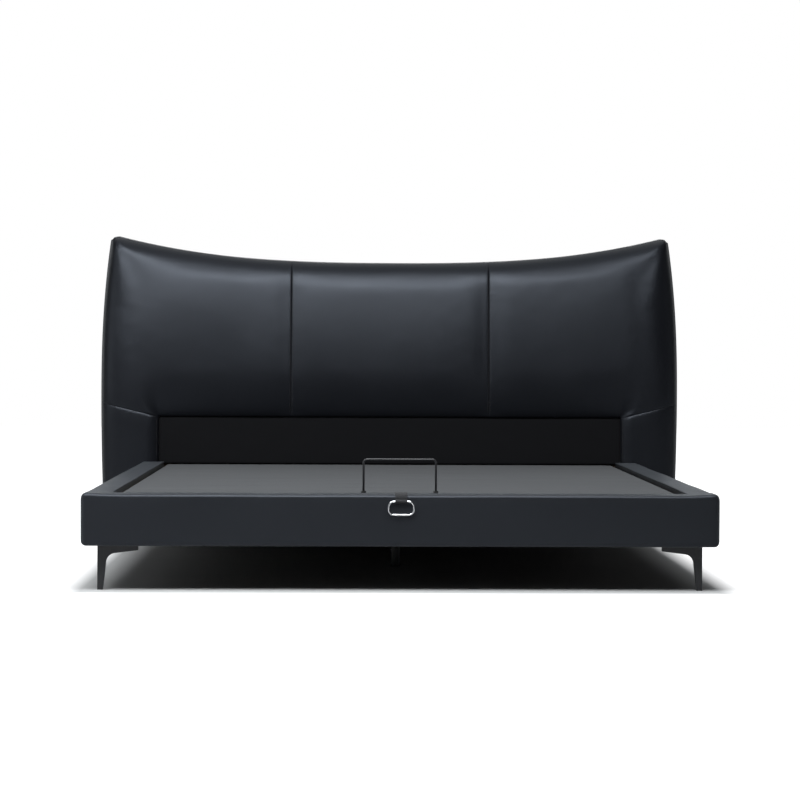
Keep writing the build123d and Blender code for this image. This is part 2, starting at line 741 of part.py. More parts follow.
# ---- mattress retainer ---------------------------------------------------------------------
bar_points = [
    (-retainer_leg_x, retainer_y, retainer_bottom),
    (-retainer_leg_x, retainer_y, retainer_top),
    (retainer_leg_x, retainer_y, retainer_top),
    (retainer_leg_x, retainer_y, retainer_bottom),
]
bar_path = FilletPolyline(*bar_points, radius=retainer_bend)
bar_start = Plane(origin=bar_points[0], z_dir=(0, 0, 1))
save(sweep(bar_start * Circle(retainer_rod_radius), path=bar_path), "mattress_retainer")
sockets = []
nuts = []
for side in (-1, 1):
    x = side * retainer_leg_x
    socket = rod_z(socket_radius, platform_top, platform_top + socket_height, x, retainer_y)
    hole = rod_z(retainer_rod_radius, platform_top, platform_top + socket_height, x, retainer_y)
    sockets.append(socket - hole)
    nut = Pos(x, retainer_y, deck_bottom - nut_height) * extrude(
        RegularPolygon(nut_radius, 6), amount=nut_height)
    nuts.append(nut - rod_z(
        retainer_rod_radius, deck_bottom - nut_height, deck_bottom, x, retainer_y))
save(Compound(sockets), "retainer_sockets")
save(Compound(nuts), "retainer_nuts")

# ---- pull strap and ring -------------------------------------------------------------------
bar_z = rail_top - ring_bar_drop
loop_inner = ring_wire / 2 + ring_play
loop_outer = loop_inner + strap_thick
ring_y = foot_face - strap_rail_gap - strap_thick - loop_inner
strap_low = rail_top + strap_rail_gap
strap_high = strap_low + strap_thick
corner_radius = rail_round + strap_rail_gap
corner_y = foot_face + rail_round
corner_z = rail_top - rail_round
strap_back = foot_inner + strap_rail_gap
deck_start = platform_foot + strap_deck_inset


def flat(y0, y1, z0, z1):
    """Rectangle in the plane of the strap's edge."""
    return Pos((y0 + y1) / 2, (z0 + z1) / 2) * Rectangle(abs(y1 - y0), abs(z1 - z0))


ramp = make_face(Polyline(
    (deck_start, platform_top),
    (strap_back, strap_low),
    (strap_back, strap_high),
    (deck_start, platform_top + strap_thick),
    close=True))
quarter = Pos(corner_y, corner_z) * (
    Circle(corner_radius + strap_thick) - Circle(corner_radius))
quarter_reach = 2 * corner_radius
quarter = quarter & flat(corner_y - quarter_reach, corner_y, corner_z, corner_z + quarter_reach)
profile = (
    flat(deck_start, deck_start + strap_on_deck, platform_top, platform_top + strap_thick)
    + ramp
    + flat(corner_y, strap_back, strap_low, strap_high)
    + quarter
    + flat(foot_face - strap_rail_gap - strap_thick, foot_face - strap_rail_gap, bar_z, corner_z)
    + Pos(ring_y, bar_z) * (Circle(loop_outer) - Circle(loop_inner))
)
strap = extrude(Plane.YZ * profile, amount=strap_width / 2, both=True)
save(strap, "pull_strap")
patch_y = deck_start + strap_on_deck - strap_patch
patch = block(
    -strap_patch_width / 2, strap_patch_width / 2, patch_y, patch_y + strap_patch,
    platform_top + strap_thick, platform_top + 2 * strap_thick)
save(patch, "strap_patch")

centre_w = ring_width - ring_wire
centre_h = ring_height - ring_wire
ring_plane = Plane(origin=(0, ring_y, bar_z - centre_h / 2), x_dir=(1, 0, 0), z_dir=(0, -1, 0))
ring_path = (ring_plane * RectangleRounded(centre_w, centre_h, ring_corner)).wire()
ring_start = Plane(origin=ring_path @ 0, z_dir=ring_path % 0)
save(sweep(ring_start * Circle(ring_wire / 2), path=ring_path), "pull_ring")
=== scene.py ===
"""Looks of a low leather bed with a wide rolled headboard and a lifting mattress platform."""

import json
import logging
import math
from dataclasses import dataclass
from enum import Enum
from typing import Callable, Sequence

import bmesh
import bpy
import numpy as np
from mathutils import Matrix, Vector


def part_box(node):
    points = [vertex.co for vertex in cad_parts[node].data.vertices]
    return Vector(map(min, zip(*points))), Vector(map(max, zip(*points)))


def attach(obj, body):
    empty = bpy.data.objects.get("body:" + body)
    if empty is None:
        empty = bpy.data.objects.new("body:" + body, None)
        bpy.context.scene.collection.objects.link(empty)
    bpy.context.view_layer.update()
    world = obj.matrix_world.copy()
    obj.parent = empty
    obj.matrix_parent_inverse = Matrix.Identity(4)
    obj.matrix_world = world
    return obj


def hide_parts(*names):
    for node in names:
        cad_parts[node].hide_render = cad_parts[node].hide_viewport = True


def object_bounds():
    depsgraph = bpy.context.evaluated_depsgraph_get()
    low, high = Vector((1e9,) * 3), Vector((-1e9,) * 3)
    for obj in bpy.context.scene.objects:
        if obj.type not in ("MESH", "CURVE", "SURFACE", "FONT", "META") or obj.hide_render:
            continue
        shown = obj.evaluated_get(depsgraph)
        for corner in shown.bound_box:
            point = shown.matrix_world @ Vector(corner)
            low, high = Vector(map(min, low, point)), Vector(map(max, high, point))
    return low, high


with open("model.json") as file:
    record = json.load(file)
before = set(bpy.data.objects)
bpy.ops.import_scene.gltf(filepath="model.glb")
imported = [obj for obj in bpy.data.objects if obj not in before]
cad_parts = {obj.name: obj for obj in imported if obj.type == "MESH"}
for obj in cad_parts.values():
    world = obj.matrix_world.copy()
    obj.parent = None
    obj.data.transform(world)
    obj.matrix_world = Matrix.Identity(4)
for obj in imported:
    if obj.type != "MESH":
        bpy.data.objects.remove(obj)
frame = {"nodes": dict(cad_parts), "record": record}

CAD_BOX = [list(corner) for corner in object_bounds()]
LOG = logging.getLogger("bed")
Array = np.ndarray
SIDES = (("left", -1), ("right", 1))


# ---- small pieces of geometry --------------------------------------------------------------
def roll(distance: Array, radius: float | Array, ease: float = 2.0) -> Array:
    """Quarter-round profile: 0 with an upright tangent at an edge, 1 from one radius inwards.

    Formula: the square root of one minus a power of (one minus distance over radius).

    Args:
        distance: distance in from the edge, in metres.
        radius: radius of the round, in metres.
        ease: the power, 2 for a circle and more for a longer, softer shoulder.

    Returns:
        Heights between 0 and 1.
    """
    share = np.clip(distance / radius, 0.0, 1.0)
    return np.sqrt(np.maximum(1.0 - (1.0 - share) ** ease, 0.0))


def ripple(u: Array, v: Array, wave_u: float, wave_v: float, seed: int, count: int = 9) -> Array:
    """Smooth uneven swell: a sum of sine waves whose lengths and directions vary about a mean.

    Args:
        u: first coordinate, in metres.
        v: second coordinate, in metres.
        wave_u: mean wavelength along u.
        wave_v: mean wavelength along v.
        seed: seed of the waves.
        count: number of waves.

    Returns:
        Heights of about unit size.
    """
    draw = np.random.default_rng(seed)
    total = np.zeros(np.broadcast(u, v).shape)
    for _ in range(count):
        ku, kv = draw.uniform(0.4, 1.6, 2) * draw.choice((-1.0, 1.0), 2)
        phase = draw.uniform(0.0, 2.0 * math.pi)
        total = total + np.sin(2.0 * math.pi * (ku * u / wave_u + kv * v / wave_v) + phase)
    return total / math.sqrt(count)


def graded(length: float, step: float, near: Sequence[float], far: Sequence[float]) -> Array:
    """Distances from 0 to a length, close together at the ends and even between.

    Args:
        length: last distance.
        step: spacing of the even stretch.
        near: first distances, counted from the start.
        far: last distances, counted back from the end.

    Returns:
        Increasing distances.
    """
    start, end = near[-1], length - far[-1]
    count = max(int(round((end - start) / step)), 1)
    middle = np.linspace(start, end, count + 1)[1:-1]
    return np.concatenate([np.asarray(near), middle, length - np.asarray(far)[::-1]])


def grid_quads(rows: int, cols: int, wrap: bool = False) -> Array:
    """Corner numbers of the quads of a grid of rows by cols points.

    Args:
        rows: number of rows.
        cols: number of columns.
        wrap: whether the last column joins the first.

    Returns:
        One row of four corner numbers for each quad.
    """
    index = np.arange(rows * cols).reshape(rows, cols)
    if wrap:
        index = np.concatenate([index, index[:, :1]], axis=1)
    a, b = index[:-1, :-1], index[:-1, 1:]
    c, d = index[1:, 1:], index[1:, :-1]
    return np.stack([a, b, c, d], axis=-1).reshape(-1, 4)


def place_object(name: str, data: bpy.types.ID) -> bpy.types.Object:
    """Puts a new object that shows the data into the scene."""
    thing = bpy.data.objects.new(name, data)
    bpy.context.scene.collection.objects.link(thing)
    return thing


def make_mesh(name: str, points: Array, quads: Array) -> bpy.types.Object:
    """Puts points and quads into a mesh, closes its seams and turns its faces outwards.

    Args:
        name: name of the piece.
        points: corners, one row each, in metres.
        quads: corner numbers, four to a face.

    Returns:
        The new object, at the origin.
    """
    mesh = bpy.data.meshes.new(name)
    mesh.vertices.add(len(points))
    mesh.vertices.foreach_set("co", np.ascontiguousarray(points, dtype=np.float32).ravel())
    mesh.loops.add(quads.size)
    mesh.loops.foreach_set("vertex_index", np.ascontiguousarray(quads, dtype=np.int32).ravel())
    mesh.polygons.add(len(quads))
    mesh.polygons.foreach_set("loop_start", np.arange(0, quads.size, 4, dtype=np.int32))
    mesh.update(calc_edges=True)
    mesh.validate()
    shape = bmesh.new()
    shape.from_mesh(mesh)
    bmesh.ops.remove_doubles(shape, verts=shape.verts, dist=1e-5)
    bmesh.ops.dissolve_degenerate(shape, edges=shape.edges, dist=1e-6)
    bmesh.ops.recalc_face_normals(shape, faces=shape.faces)
    shape.to_mesh(mesh)
    shape.free()
    mesh.polygons.foreach_set("use_smooth", np.full(len(mesh.polygons), True))
    return place_object(name, mesh)


def closed_slab(name: str, face: Sequence[Array], back: Sequence[Array]) -> bpy.types.Object:
    """Closed form between two grids of the same size, with walls along their four edges.

    Args:
        name: name of the piece.
        face: the x, y and z of the outer grid, each rows by columns.
        back: the same of the inner grid.

    Returns:
        The new object.
    """
    outer, inner = np.stack(face, axis=-1), np.stack(back, axis=-1)
    rows, cols = outer.shape[:2]
    quads = grid_quads(rows, cols)
    offset = rows * cols
    index = np.arange(offset).reshape(rows, cols)
    border = np.concatenate([index[0, :-1], index[:-1, -1], index[-1, :0:-1], index[:0:-1, 0]])
    following = np.roll(border, -1)
    walls = np.stack([border, following, following + offset, border + offset], axis=-1)
    points = np.concatenate([outer.reshape(-1, 3), inner.reshape(-1, 3)])
    return make_mesh(name, points, np.concatenate([quads, quads[:, ::-1] + offset, walls]))


def laid_out(u: Array, v: Array) -> tuple[Array, Array, Array]:
    """Grid over a rectangle, with the distance of every point in from the nearest edge.

    Args:
        u: increasing places along the columns.
        v: increasing places along the rows.

    Returns:
        The u of each point, its v, and its distance from the edge.
    """
    in_u, in_v = (np.minimum(places - places[0], places[-1] - places) for places in (u, v))
    return *np.broadcast_arrays(u[None, :], v[:, None]), np.minimum(in_u[None, :], in_v[:, None])


def tube(name: str, path: Array, radius: float, loop: bool = False,
         sides: int = 14) -> bpy.types.Object:
    """Round wire: a circle carried along a path that runs mostly across the bed and up.

    Args:
        name: name of the piece.
        path: points of the centre line.
        radius: radius of the wire.
        loop: whether the path closes on itself; if not, its ends are closed.
        sides: corners of the circle.

    Returns:
        The new object.
    """
    if loop:
        along = np.roll(path, -1, axis=0) - np.roll(path, 1, axis=0)
    else:
        along = np.gradient(path, axis=0)
    along /= np.linalg.norm(along, axis=1, keepdims=True)
    across = np.cross(along, (0.0, 1.0, 0.0))
    across /= np.linalg.norm(across, axis=1, keepdims=True)
    up = np.cross(across, along)
    turn = np.linspace(0.0, 2.0 * math.pi, sides, endpoint=False)[None, :, None]
    rings = path[:, None] + radius * (np.cos(turn) * across[:, None] + np.sin(turn) * up[:, None])
    if loop:
        rings = np.concatenate([rings, rings[:1]])
    else:
        first = np.repeat(path[:1, None], sides, axis=1)
        last = np.repeat(path[-1:, None], sides, axis=1)
        rings = np.concatenate([first, rings, last])
    return make_mesh(name, rings.reshape(-1, 3), grid_quads(len(rings), sides, wrap=True))


def arc(centre: Sequence[float], radius: float, start: float, end: float, count: int) -> Array:
    """Points on a flat arc, as rows of two coordinates, between two angles in degrees."""
    turn = np.radians(np.linspace(start, end, count))
    return np.stack([centre[0] + radius * np.cos(turn), centre[1] + radius * np.sin(turn)], axis=1)


def box(node: str) -> tuple[Array, Array]:
    """Lower and upper corner of a CAD node's box, as arrays."""
    low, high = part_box(node)
    return np.array(low), np.array(high)


def spaced(path: Array, step: float) -> tuple[Array, Array]:
    """Points at an even spacing along a path, and the direction of the path at each.

    Args:
        path: points of the path, one row each.
        step: spacing, in metres.

    Returns:
        The points and the unit directions.
    """
    length = np.concatenate([[0.0], np.cumsum(np.linalg.norm(np.diff(path, axis=0), axis=1))])
    at = np.arange(step / 2.0, length[-1], step)
    points, ahead, behind = (
        np.stack([np.interp(at + share * step, length, axis) for axis in path.T], axis=1)
        for share in (0.0, 0.2, -0.2))
    along = ahead - behind
    return points, along / np.maximum(np.linalg.norm(along, axis=1, keepdims=True), 1e-9)


def stitches(name: str, paths: Sequence[Array], outward: Sequence[float], step: float = 0.0075,
             length: float = 0.0052, thick: float = 0.0007) -> bpy.types.Object:
    """A row of sewn thread: one small spindle for each stitch, all worked out as one array.

    Args:
        name: name of the piece.
        paths: seam lines, as rows of points.
        outward: direction away from the leather.
        step: spacing of the stitches.
        length: length of one stitch.
        thick: radius of the thread.

    Returns:
        The new object.
    """
    placed = [spaced(path, step) for path in paths]
    points = np.concatenate([p for p, _ in placed])
    along = np.concatenate([a for _, a in placed])
    out = np.asarray(outward, dtype=float)
    across = np.cross(along, out)
    across /= np.linalg.norm(across, axis=1, keepdims=True)
    up = np.cross(across, along)
    stations = np.array([-0.5, -0.4, 0.0, 0.4, 0.5])
    girth = np.array([0.0, 0.75, 1.0, 0.75, 0.0])
    turn = np.linspace(0.0, 2.0 * math.pi, 6, endpoint=False)
    around = np.cos(turn)[:, None, None] * across + np.sin(turn)[:, None, None] * up
    centres = points + length * stations[:, None, None] * along
    rings = centres[:, None] + thick * girth[:, None, None, None] * around[None]
    cloud = rings.transpose(2, 0, 1, 3).reshape(-1, 3)
    quads = grid_quads(len(stations), len(turn), wrap=True)
    size = len(stations) * len(turn)
    every = (quads[None] + size * np.arange(len(points))[:, None, None]).reshape(-1, 4)
    return make_mesh(name, cloud, every)


# ---- shader building -----------------------------------------------------------------------
WEAVE_AXES = ("Along X", "Along Y", "Along Z")


class Graph:
    """Short way to write nodes into a tree."""

    def __init__(self, tree: bpy.types.NodeTree) -> None:
        """Keeps the tree and empties it."""
        self.tree = tree
        tree.nodes.clear()

    def add(self, kind: str, inputs: dict | None = None, **settings: object) -> bpy.types.Node:
        """Adds a node.

        Args:
            kind: Blender's name for the node type.
            inputs: socket names with a value, or with an output socket to link from.
            settings: attributes of the node.

        Returns:
            The node.
        """
        node = self.tree.nodes.new(kind)
        for key, value in settings.items():
            setattr(node, key, value)
        self.feed(node, inputs or {})
        return node

    def feed(self, node: bpy.types.Node, inputs: dict) -> None:
        """Sets a node's inputs to values, or links them from output sockets."""
        for key, value in inputs.items():
            if isinstance(value, bpy.types.NodeSocket):
                self.tree.links.new(value, node.inputs[key])
            else:
                node.inputs[key].default_value = value

    def place(self) -> bpy.types.NodeSocket:
        """The object's own coordinates, in metres, as an output socket."""
        return self.add("ShaderNodeTexCoord").outputs["Object"]

    def noise(self, place: object, scale: object, detail: float,
              distortion: float = 0.0) -> bpy.types.NodeSocket:
        """Smooth noise of about unit size, as an output socket."""
        inputs = {"Vector": place, "Scale": scale, "Detail": detail, "Distortion": distortion}
        return self.add("ShaderNodeTexNoise", inputs).outputs[0]

    def math(self, operation: str, a: object, b: object = 0.0) -> bpy.types.NodeSocket:
        """Arithmetic on one or two values, as an output socket."""
        return self.add("ShaderNodeMath", {0: a, 1: b}, operation=operation).outputs[0]

    def spread(self, value: object, low: float, high: float, out_low: float = 0.0,
               out_high: float = 1.0) -> bpy.types.NodeSocket:
        """Maps a range of values onto another, clamped, as an output socket."""
        return self.add("ShaderNodeMapRange", {
            "Value": value, "From Min": low, "From Max": high, "To Min": out_low,
            "To Max": out_high}).outputs["Result"]

    def mix(self, factor: object, a: Sequence[float], b: Sequence[float]) -> bpy.types.NodeSocket:
        """Blend of two colours, as an output socket."""
        inputs = {0: factor, 6: (*a, 1.0), 7: (*b, 1.0)}
        return self.add("ShaderNodeMix", inputs, data_type="RGBA").outputs[2]


class Group(Graph):
    """Graph of a shared node group whose sockets are all single values."""

    def __init__(self, name: str, *inputs: str) -> None:
        """Starts the group and names its inputs."""
        super().__init__(bpy.data.node_groups.new(name, "ShaderNodeTree"))
        for key in inputs:
            self.tree.interface.new_socket(key, in_out="INPUT", socket_type="NodeSocketFloat")
        self.entry = self.add("NodeGroupInput").outputs

    def close(self, outputs: dict[str, bpy.types.NodeSocket]) -> bpy.types.NodeTree:
        """Names and links the group's outputs, and hands over its tree."""
        for key in outputs:
            self.tree.interface.new_socket(key, in_out="OUTPUT", socket_type="NodeSocketFloat")
        self.add("NodeGroupOutput", outputs)
        return self.tree


def grain_group() -> bpy.types.NodeTree:
    """Leather grain: pebbles of uneven size with creases between them, and fine pores.

    Returns:
        A group with Height, ShadedCrease and Patch outputs, from a pebble count per metre;
        ShadedCrease marks the creases between pebbles, where shade is painted.
    """
    graph = Group("leather_grain", "Pebbles")
    place = graph.place()
    drift = graph.add("ShaderNodeTexNoise", {"Vector": place, "Scale": 90.0, "Detail": 2.0})
    bent = drift.outputs["Color"]
    for operation, inputs in (("SUBTRACT", {1: (0.5, 0.5, 0.5)}), ("SCALE", {"Scale": 0.004}),
                              ("ADD", {1: place})):
        step = graph.add("ShaderNodeVectorMath", {0: bent, **inputs}, operation=operation)
        bent = step.outputs[0]
    cells = graph.add("ShaderNodeTexVoronoi", {"Vector": bent, "Scale": graph.entry["Pebbles"]},
                      feature="DISTANCE_TO_EDGE").outputs["Distance"]
    pores = graph.math("MULTIPLY", graph.noise(place, 1500.0, 2.0), 0.35)
    return graph.close({
        "Height": graph.math("ADD", graph.spread(cells, 0.0, 0.28), pores),
        # mask of the creases between pebbles, used to paint shade into them
        "ShadedCrease": graph.spread(cells, 0.0, 0.08, 1.0, 0.0),
        "Patch": graph.spread(graph.noise(place, 5.0, 3.0), 0.3, 0.7),
    })


def weave_group() -> bpy.types.NodeTree:
    """Plain weave on two of the three object axes: threads rise and dip in turn.

    Returns:
        A group with Height, Thread and Fuzz outputs, from the threads per metre on each axis.
    """
    graph = Group("plain_weave", *WEAVE_AXES)
    place = graph.place()
    axes = graph.add("ShaderNodeSeparateXYZ", {0: place}).outputs
    waves = []
    for axis, key in zip(axes, WEAVE_AXES):
        turn = graph.math("MULTIPLY", graph.math("MULTIPLY", axis, graph.entry[key]), math.pi)
        waves.append(graph.math("SINE", turn))
    across, upright = waves[0], graph.math("ADD", waves[1], waves[2])
    rounded = [graph.math("POWER", graph.math("ABSOLUTE", wave), 0.6) for wave in (across, upright)]
    return graph.close({
        "Height": graph.math("MULTIPLY", *rounded),
        "Thread": graph.spread(graph.math("MULTIPLY", across, upright), -0.5, 0.5),
        "Fuzz": graph.noise(place, 700.0, 3.0),
    })


def wear_group() -> bpy.types.NodeTree:
    """Handling marks: faint smears and fine specks.

    Returns:
        A group with Smear and Speck outputs, from the scale of the smears.
    """
    graph = Group("handling_marks", "Size")
    place = graph.place()
    smear = graph.noise(place, graph.entry["Size"], 4.0, 0.6)
    return graph.close({"Smear": graph.spread(smear, 0.35, 0.7),
                        "Speck": graph.noise(place, 900.0, 2.0)})


def wood_group() -> bpy.types.NodeTree:
    """Growth rings cut lengthwise: bands stretched along two axes, and fine pores.

    Returns:
        A group with Ring and Pore outputs, from the scale of the rings.
    """
    graph = Group("timber_figure", "Rings")
    stretch = {"Vector": graph.place(), "Scale": (0.12, 0.12, 1.0)}
    place = graph.add("ShaderNodeMapping", stretch).outputs[0]
    bands = graph.noise(place, graph.entry["Rings"], 5.0, 1.2)
    return graph.close({"Ring": graph.spread(bands, 0.35, 0.65),
                        "Pore": graph.noise(place, 900.0, 2.0)})


GROUP_MAKERS: dict[str, Callable[[], bpy.types.NodeTree]] = {
    "leather_grain": grain_group,
    "plain_weave": weave_group,
    "handling_marks": wear_group,
    "timber_figure": wood_group,
}


def group_node(graph: Graph, name: str, values: dict[str, float]) -> bpy.types.Node:
    """Places a shared node group in a material, making the group the first time.

    Args:
        graph: the material's graph.
        name: name of the group.
        values: values for its inputs.

    Returns:
        The group node.
    """
    tree = bpy.data.node_groups.get(name) or GROUP_MAKERS[name]()
    return graph.add("ShaderNodeGroup", values, node_tree=tree)


class Surface(Graph):
    """Graph of a new material, with a Principled shader wired to its output."""

    def __init__(self, name: str, settings: dict[str, object]) -> None:
        """Starts the material, with values for the shader's own sockets."""
        self.material = bpy.data.materials.new(name)
        self.material.use_nodes = True
        super().__init__(self.material.node_tree)
        self.shader = self.add("ShaderNodeBsdfPrincipled", settings)
        self.add("ShaderNodeOutputMaterial", {"Surface": self.shader.outputs[0]})

    def coat(self, colour: object, roughness: object, height: object, depth: float,
             strength: float) -> bpy.types.Material:
        """Feeds colour, roughness and bump to the shader.

        Args:
            colour: socket of the base colour.
            roughness: socket of the roughness.
            height: socket of the bump's height, in shares of the depth.
            depth: depth of the bump, in metres.
            strength: share of the bump that shows.

        Returns:
            The material.
        """
        inputs = {"Height": height, "Distance": depth, "Strength": strength}
        bump = self.add("ShaderNodeBump", inputs).outputs[0]
        self.feed(self.shader, {"Base Color": colour, "Roughness": roughness, "Normal": bump})
        return self.material


# ---- finishes ------------------------------------------------------------------------------
@dataclass(frozen=True)
class LeatherFinish:
    """Pigmented grain leather."""

    name: str = "black_leather"
    colour: tuple[float, float, float] = (0.0048, 0.0051, 0.0066)
    # darker colour painted into the grain's creases as shade
    crease_colour: tuple[float, float, float] = (0.0030, 0.0032, 0.0042)
    roughness: float = 0.335
    patchiness: float = 0.025
    shine: float = 0.36
    shine_tint: tuple[float, float, float, float] = (0.80, 0.87, 1.0, 1.0)
    haze: float = 0.0
    haze_tint: tuple[float, float, float, float] = (0.84, 0.91, 1.0, 1.0)
    pebbles: float = 420.0
    depth: float = 0.00022

    def build(self) -> bpy.types.Material:
        """Makes the material: pebbled bump, painted shade in the creases and slow changes of gloss.
        """
        surface = Surface(self.name, {
            "Specular IOR Level": self.shine, "Specular Tint": self.shine_tint,
            "Sheen Weight": self.haze, "Sheen Roughness": 0.4, "Sheen Tint": self.haze_tint})
        grain = group_node(surface, "leather_grain", {"Pebbles": self.pebbles}).outputs
        # painted shade: the creases between pebbles get the darker colour
        colour = surface.mix(grain["ShadedCrease"], self.colour, self.crease_colour)
        low, high = self.roughness - self.patchiness, self.roughness + self.patchiness
        roughness = surface.spread(grain["Patch"], 0.0, 1.0, low, high)
        return surface.coat(colour, roughness, grain["Height"], self.depth, 0.55)


@dataclass(frozen=True)
class ClothFinish:
    """Woven cloth with a thread count along each axis."""

    name: str
    colour: tuple[float, float, float]
    thread_colour: tuple[float, float, float]
    threads: tuple[float, float, float]
    depth: float
    roughness: float = 0.85
    sheen: float = 0.15
    gloss: float = 0.3
    streaks: float = 0.0

    def build(self) -> bpy.types.Material:
        """Makes the material: weave bump, two thread colours, fuzz and optional cross streaks."""
        surface = Surface(self.name, {
            "Sheen Weight": self.sheen, "Sheen Roughness": 0.5, "Specular IOR Level": self.gloss})
        weave = group_node(surface, "plain_weave", dict(zip(WEAVE_AXES, self.threads))).outputs
        shade = surface.math("ADD", surface.math("MULTIPLY", weave["Thread"], 0.55),
                             surface.math("MULTIPLY", weave["Fuzz"], 0.45))
        if self.streaks:
            stretch = {"Vector": surface.place(), "Scale": (0.8, 90.0, 1.0)}
            place = surface.add("ShaderNodeMapping", stretch).outputs[0]
            line = surface.spread(surface.noise(place, 1.6, 4.0), 0.35, 0.65)
            shade = surface.math("ADD", surface.math("MULTIPLY", shade, 1.0 - self.streaks),
                                 surface.math("MULTIPLY", line, self.streaks))
        colour = surface.mix(shade, self.colour, self.thread_colour)
        low, high = self.roughness - 0.06, self.roughness + 0.06
        roughness = surface.spread(weave["Fuzz"], 0.3, 0.7, low, high)
        return surface.coat(colour, roughness, weave["Height"], self.depth, 0.6)


@dataclass(frozen=True)
class CoatFinish:
    """Powder coat, gloss paint, moulded plastic or bright plate, told apart by its numbers."""

    name: str
    colour: tuple[float, float, float]
    mark_colour: tuple[float, float, float]
    roughness: float
    metallic: float = 0.0
    texture: float = 0.00008
    smear: float = 18.0

    def build(self) -> bpy.types.Material:
        """Makes the material: fine orange-peel bump, smears in gloss and specks of colour."""
        surface = Surface(self.name, {"Metallic": self.metallic})
        marks = group_node(surface, "handling_marks", {"Size": self.smear}).outputs
        shade = surface.math("MULTIPLY", marks["Smear"], marks["Speck"])
        colour = surface.mix(shade, self.colour, self.mark_colour)
        low, high = max(self.roughness - 0.06, 0.03), self.roughness + 0.08
        roughness = surface.spread(marks["Smear"], 0.0, 1.0, low, high)
        return surface.coat(colour, roughness, marks["Speck"], self.texture, 0.4)


@dataclass(frozen=True)
class TimberFinish:
    """Planed timber or plywood."""

    name: str
    colour: tuple[float, float, float]
    ring_colour: tuple[float, float, float]
    rings: float
    roughness: float = 0.6

    def build(self) -> bpy.types.Material:
        """Makes the material: growth rings in colour, pores in bump and gloss."""
        surface = Surface(self.name, {"Specular IOR Level": 0.35})
        figure = group_node(surface, "timber_figure", {"Rings": self.rings}).outputs
        colour = surface.mix(figure["Ring"], self.colour, self.ring_colour)
        low, high = self.roughness - 0.08, self.roughness + 0.08
        roughness = surface.spread(figure["Pore"], 0.3, 0.7, low, high)
        return surface.coat(colour, roughness, figure["Pore"], 0.0002, 0.5)


# rail leather: more sheen and gloss brighten the rail tops; the faces turned towards the platform
# keep the plain leather as painted shade
RAIL_LEATHER = LeatherFinish("rail_leather", roughness=0.48, shine=0.45, haze=0.24)


class Slot(Enum):
    """The record's material slots, each with its finish."""

    leather = LeatherFinish()
    platform_fabric = ClothFinish("platform_cloth", (0.033, 0.035, 0.038), (0.054, 0.057, 0.061),
                                  (900.0, 1100.0, 0.0), 0.00018, streaks=0.55)
    woven_panel = ClothFinish("recess_weave", (0.0018, 0.0018, 0.002), (0.006, 0.006, 0.0075),
                              (260.0, 0.0, 260.0), 0.0007, sheen=0.02, gloss=0.12)
    lining = ClothFinish("lining_cloth", (0.012, 0.012, 0.014), (0.024, 0.024, 0.027),
                         (700.0, 0.0, 700.0), 0.00025)
    webbing = ClothFinish("webbing_weave", (0.008, 0.008, 0.009), (0.024, 0.024, 0.027),
                          (420.0, 700.0, 700.0), 0.0005)
    timber = TimberFinish("stained_pine", (0.075, 0.050, 0.032), (0.045, 0.030, 0.019), 40.0)
    plywood = TimberFinish("faced_ply", (0.030, 0.027, 0.024), (0.020, 0.018, 0.016), 18.0)
    leg_metal = CoatFinish("leg_coat", (0.016, 0.016, 0.018), (0.028, 0.028, 0.031), 0.38)
    steel = CoatFinish("frame_coat", (0.050, 0.052, 0.056), (0.075, 0.078, 0.082), 0.45)
    zinc = CoatFinish("zinc_plate", (0.50, 0.51, 0.53), (0.62, 0.62, 0.60), 0.30,
                      metallic=1.0, texture=0.00003)
    chrome = CoatFinish("bright_chrome", (0.86, 0.87, 0.89), (0.80, 0.81, 0.83), 0.09,
                        metallic=1.0, texture=0.000005)
    cylinder_paint = CoatFinish("cylinder_gloss", (0.012, 0.012, 0.013), (0.02, 0.02, 0.02), 0.2,
                                texture=0.00001)
    plastic = CoatFinish("black_plastic", (0.018, 0.018, 0.018), (0.03, 0.03, 0.03), 0.5)

    def material(self) -> bpy.types.Material:
        """The slot's material, made the first time it is asked for."""
        return bpy.data.materials.get(self.value.name) or self.value.build()


def dress(piece: bpy.types.Object, slot: Slot, body: str, *nodes: str) -> bpy.types.Object:
    """Gives a new piece its finish, its body and the CAD nodes that it stands for.

    Args:
        piece: the new object.
        slot: its material slot.
        body: the body that carries it.
        nodes: CAD nodes that it replaces.

    Returns:
        The same object.
    """
    piece.data.materials.clear()
    piece.data.materials.append(slot.material())
    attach(piece, body)
    if nodes:
        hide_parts(*nodes)
    LOG.info("%s: %d faces on %s", piece.name, len(piece.data.polygons), body)
    return piece


def corners(piece: bpy.types.Object) -> Array:
    """The points of a piece's mesh, one row each."""
    points = np.empty(len(piece.data.vertices) * 3, dtype=np.float32)
    piece.data.vertices.foreach_get("co", points)
    return points.reshape(-1, 3)


def evened(mesh: bpy.types.Mesh, move: Array, rounds: int) -> Array:
    """Averages every point's move with its neighbours', a number of times over."""
    edges = np.empty(len(mesh.edges) * 2, dtype=np.int32)
    mesh.edges.foreach_get("vertices", edges)
    others = edges.reshape(-1, 2)[:, ::-1].ravel()
    met = np.bincount(edges, minlength=len(move))
    for _ in range(rounds):
        around = np.stack([np.bincount(edges, axis[others], len(move)) for axis in move.T], axis=1)
        move = (move + around / met[:, None]) / 2.0
    return move


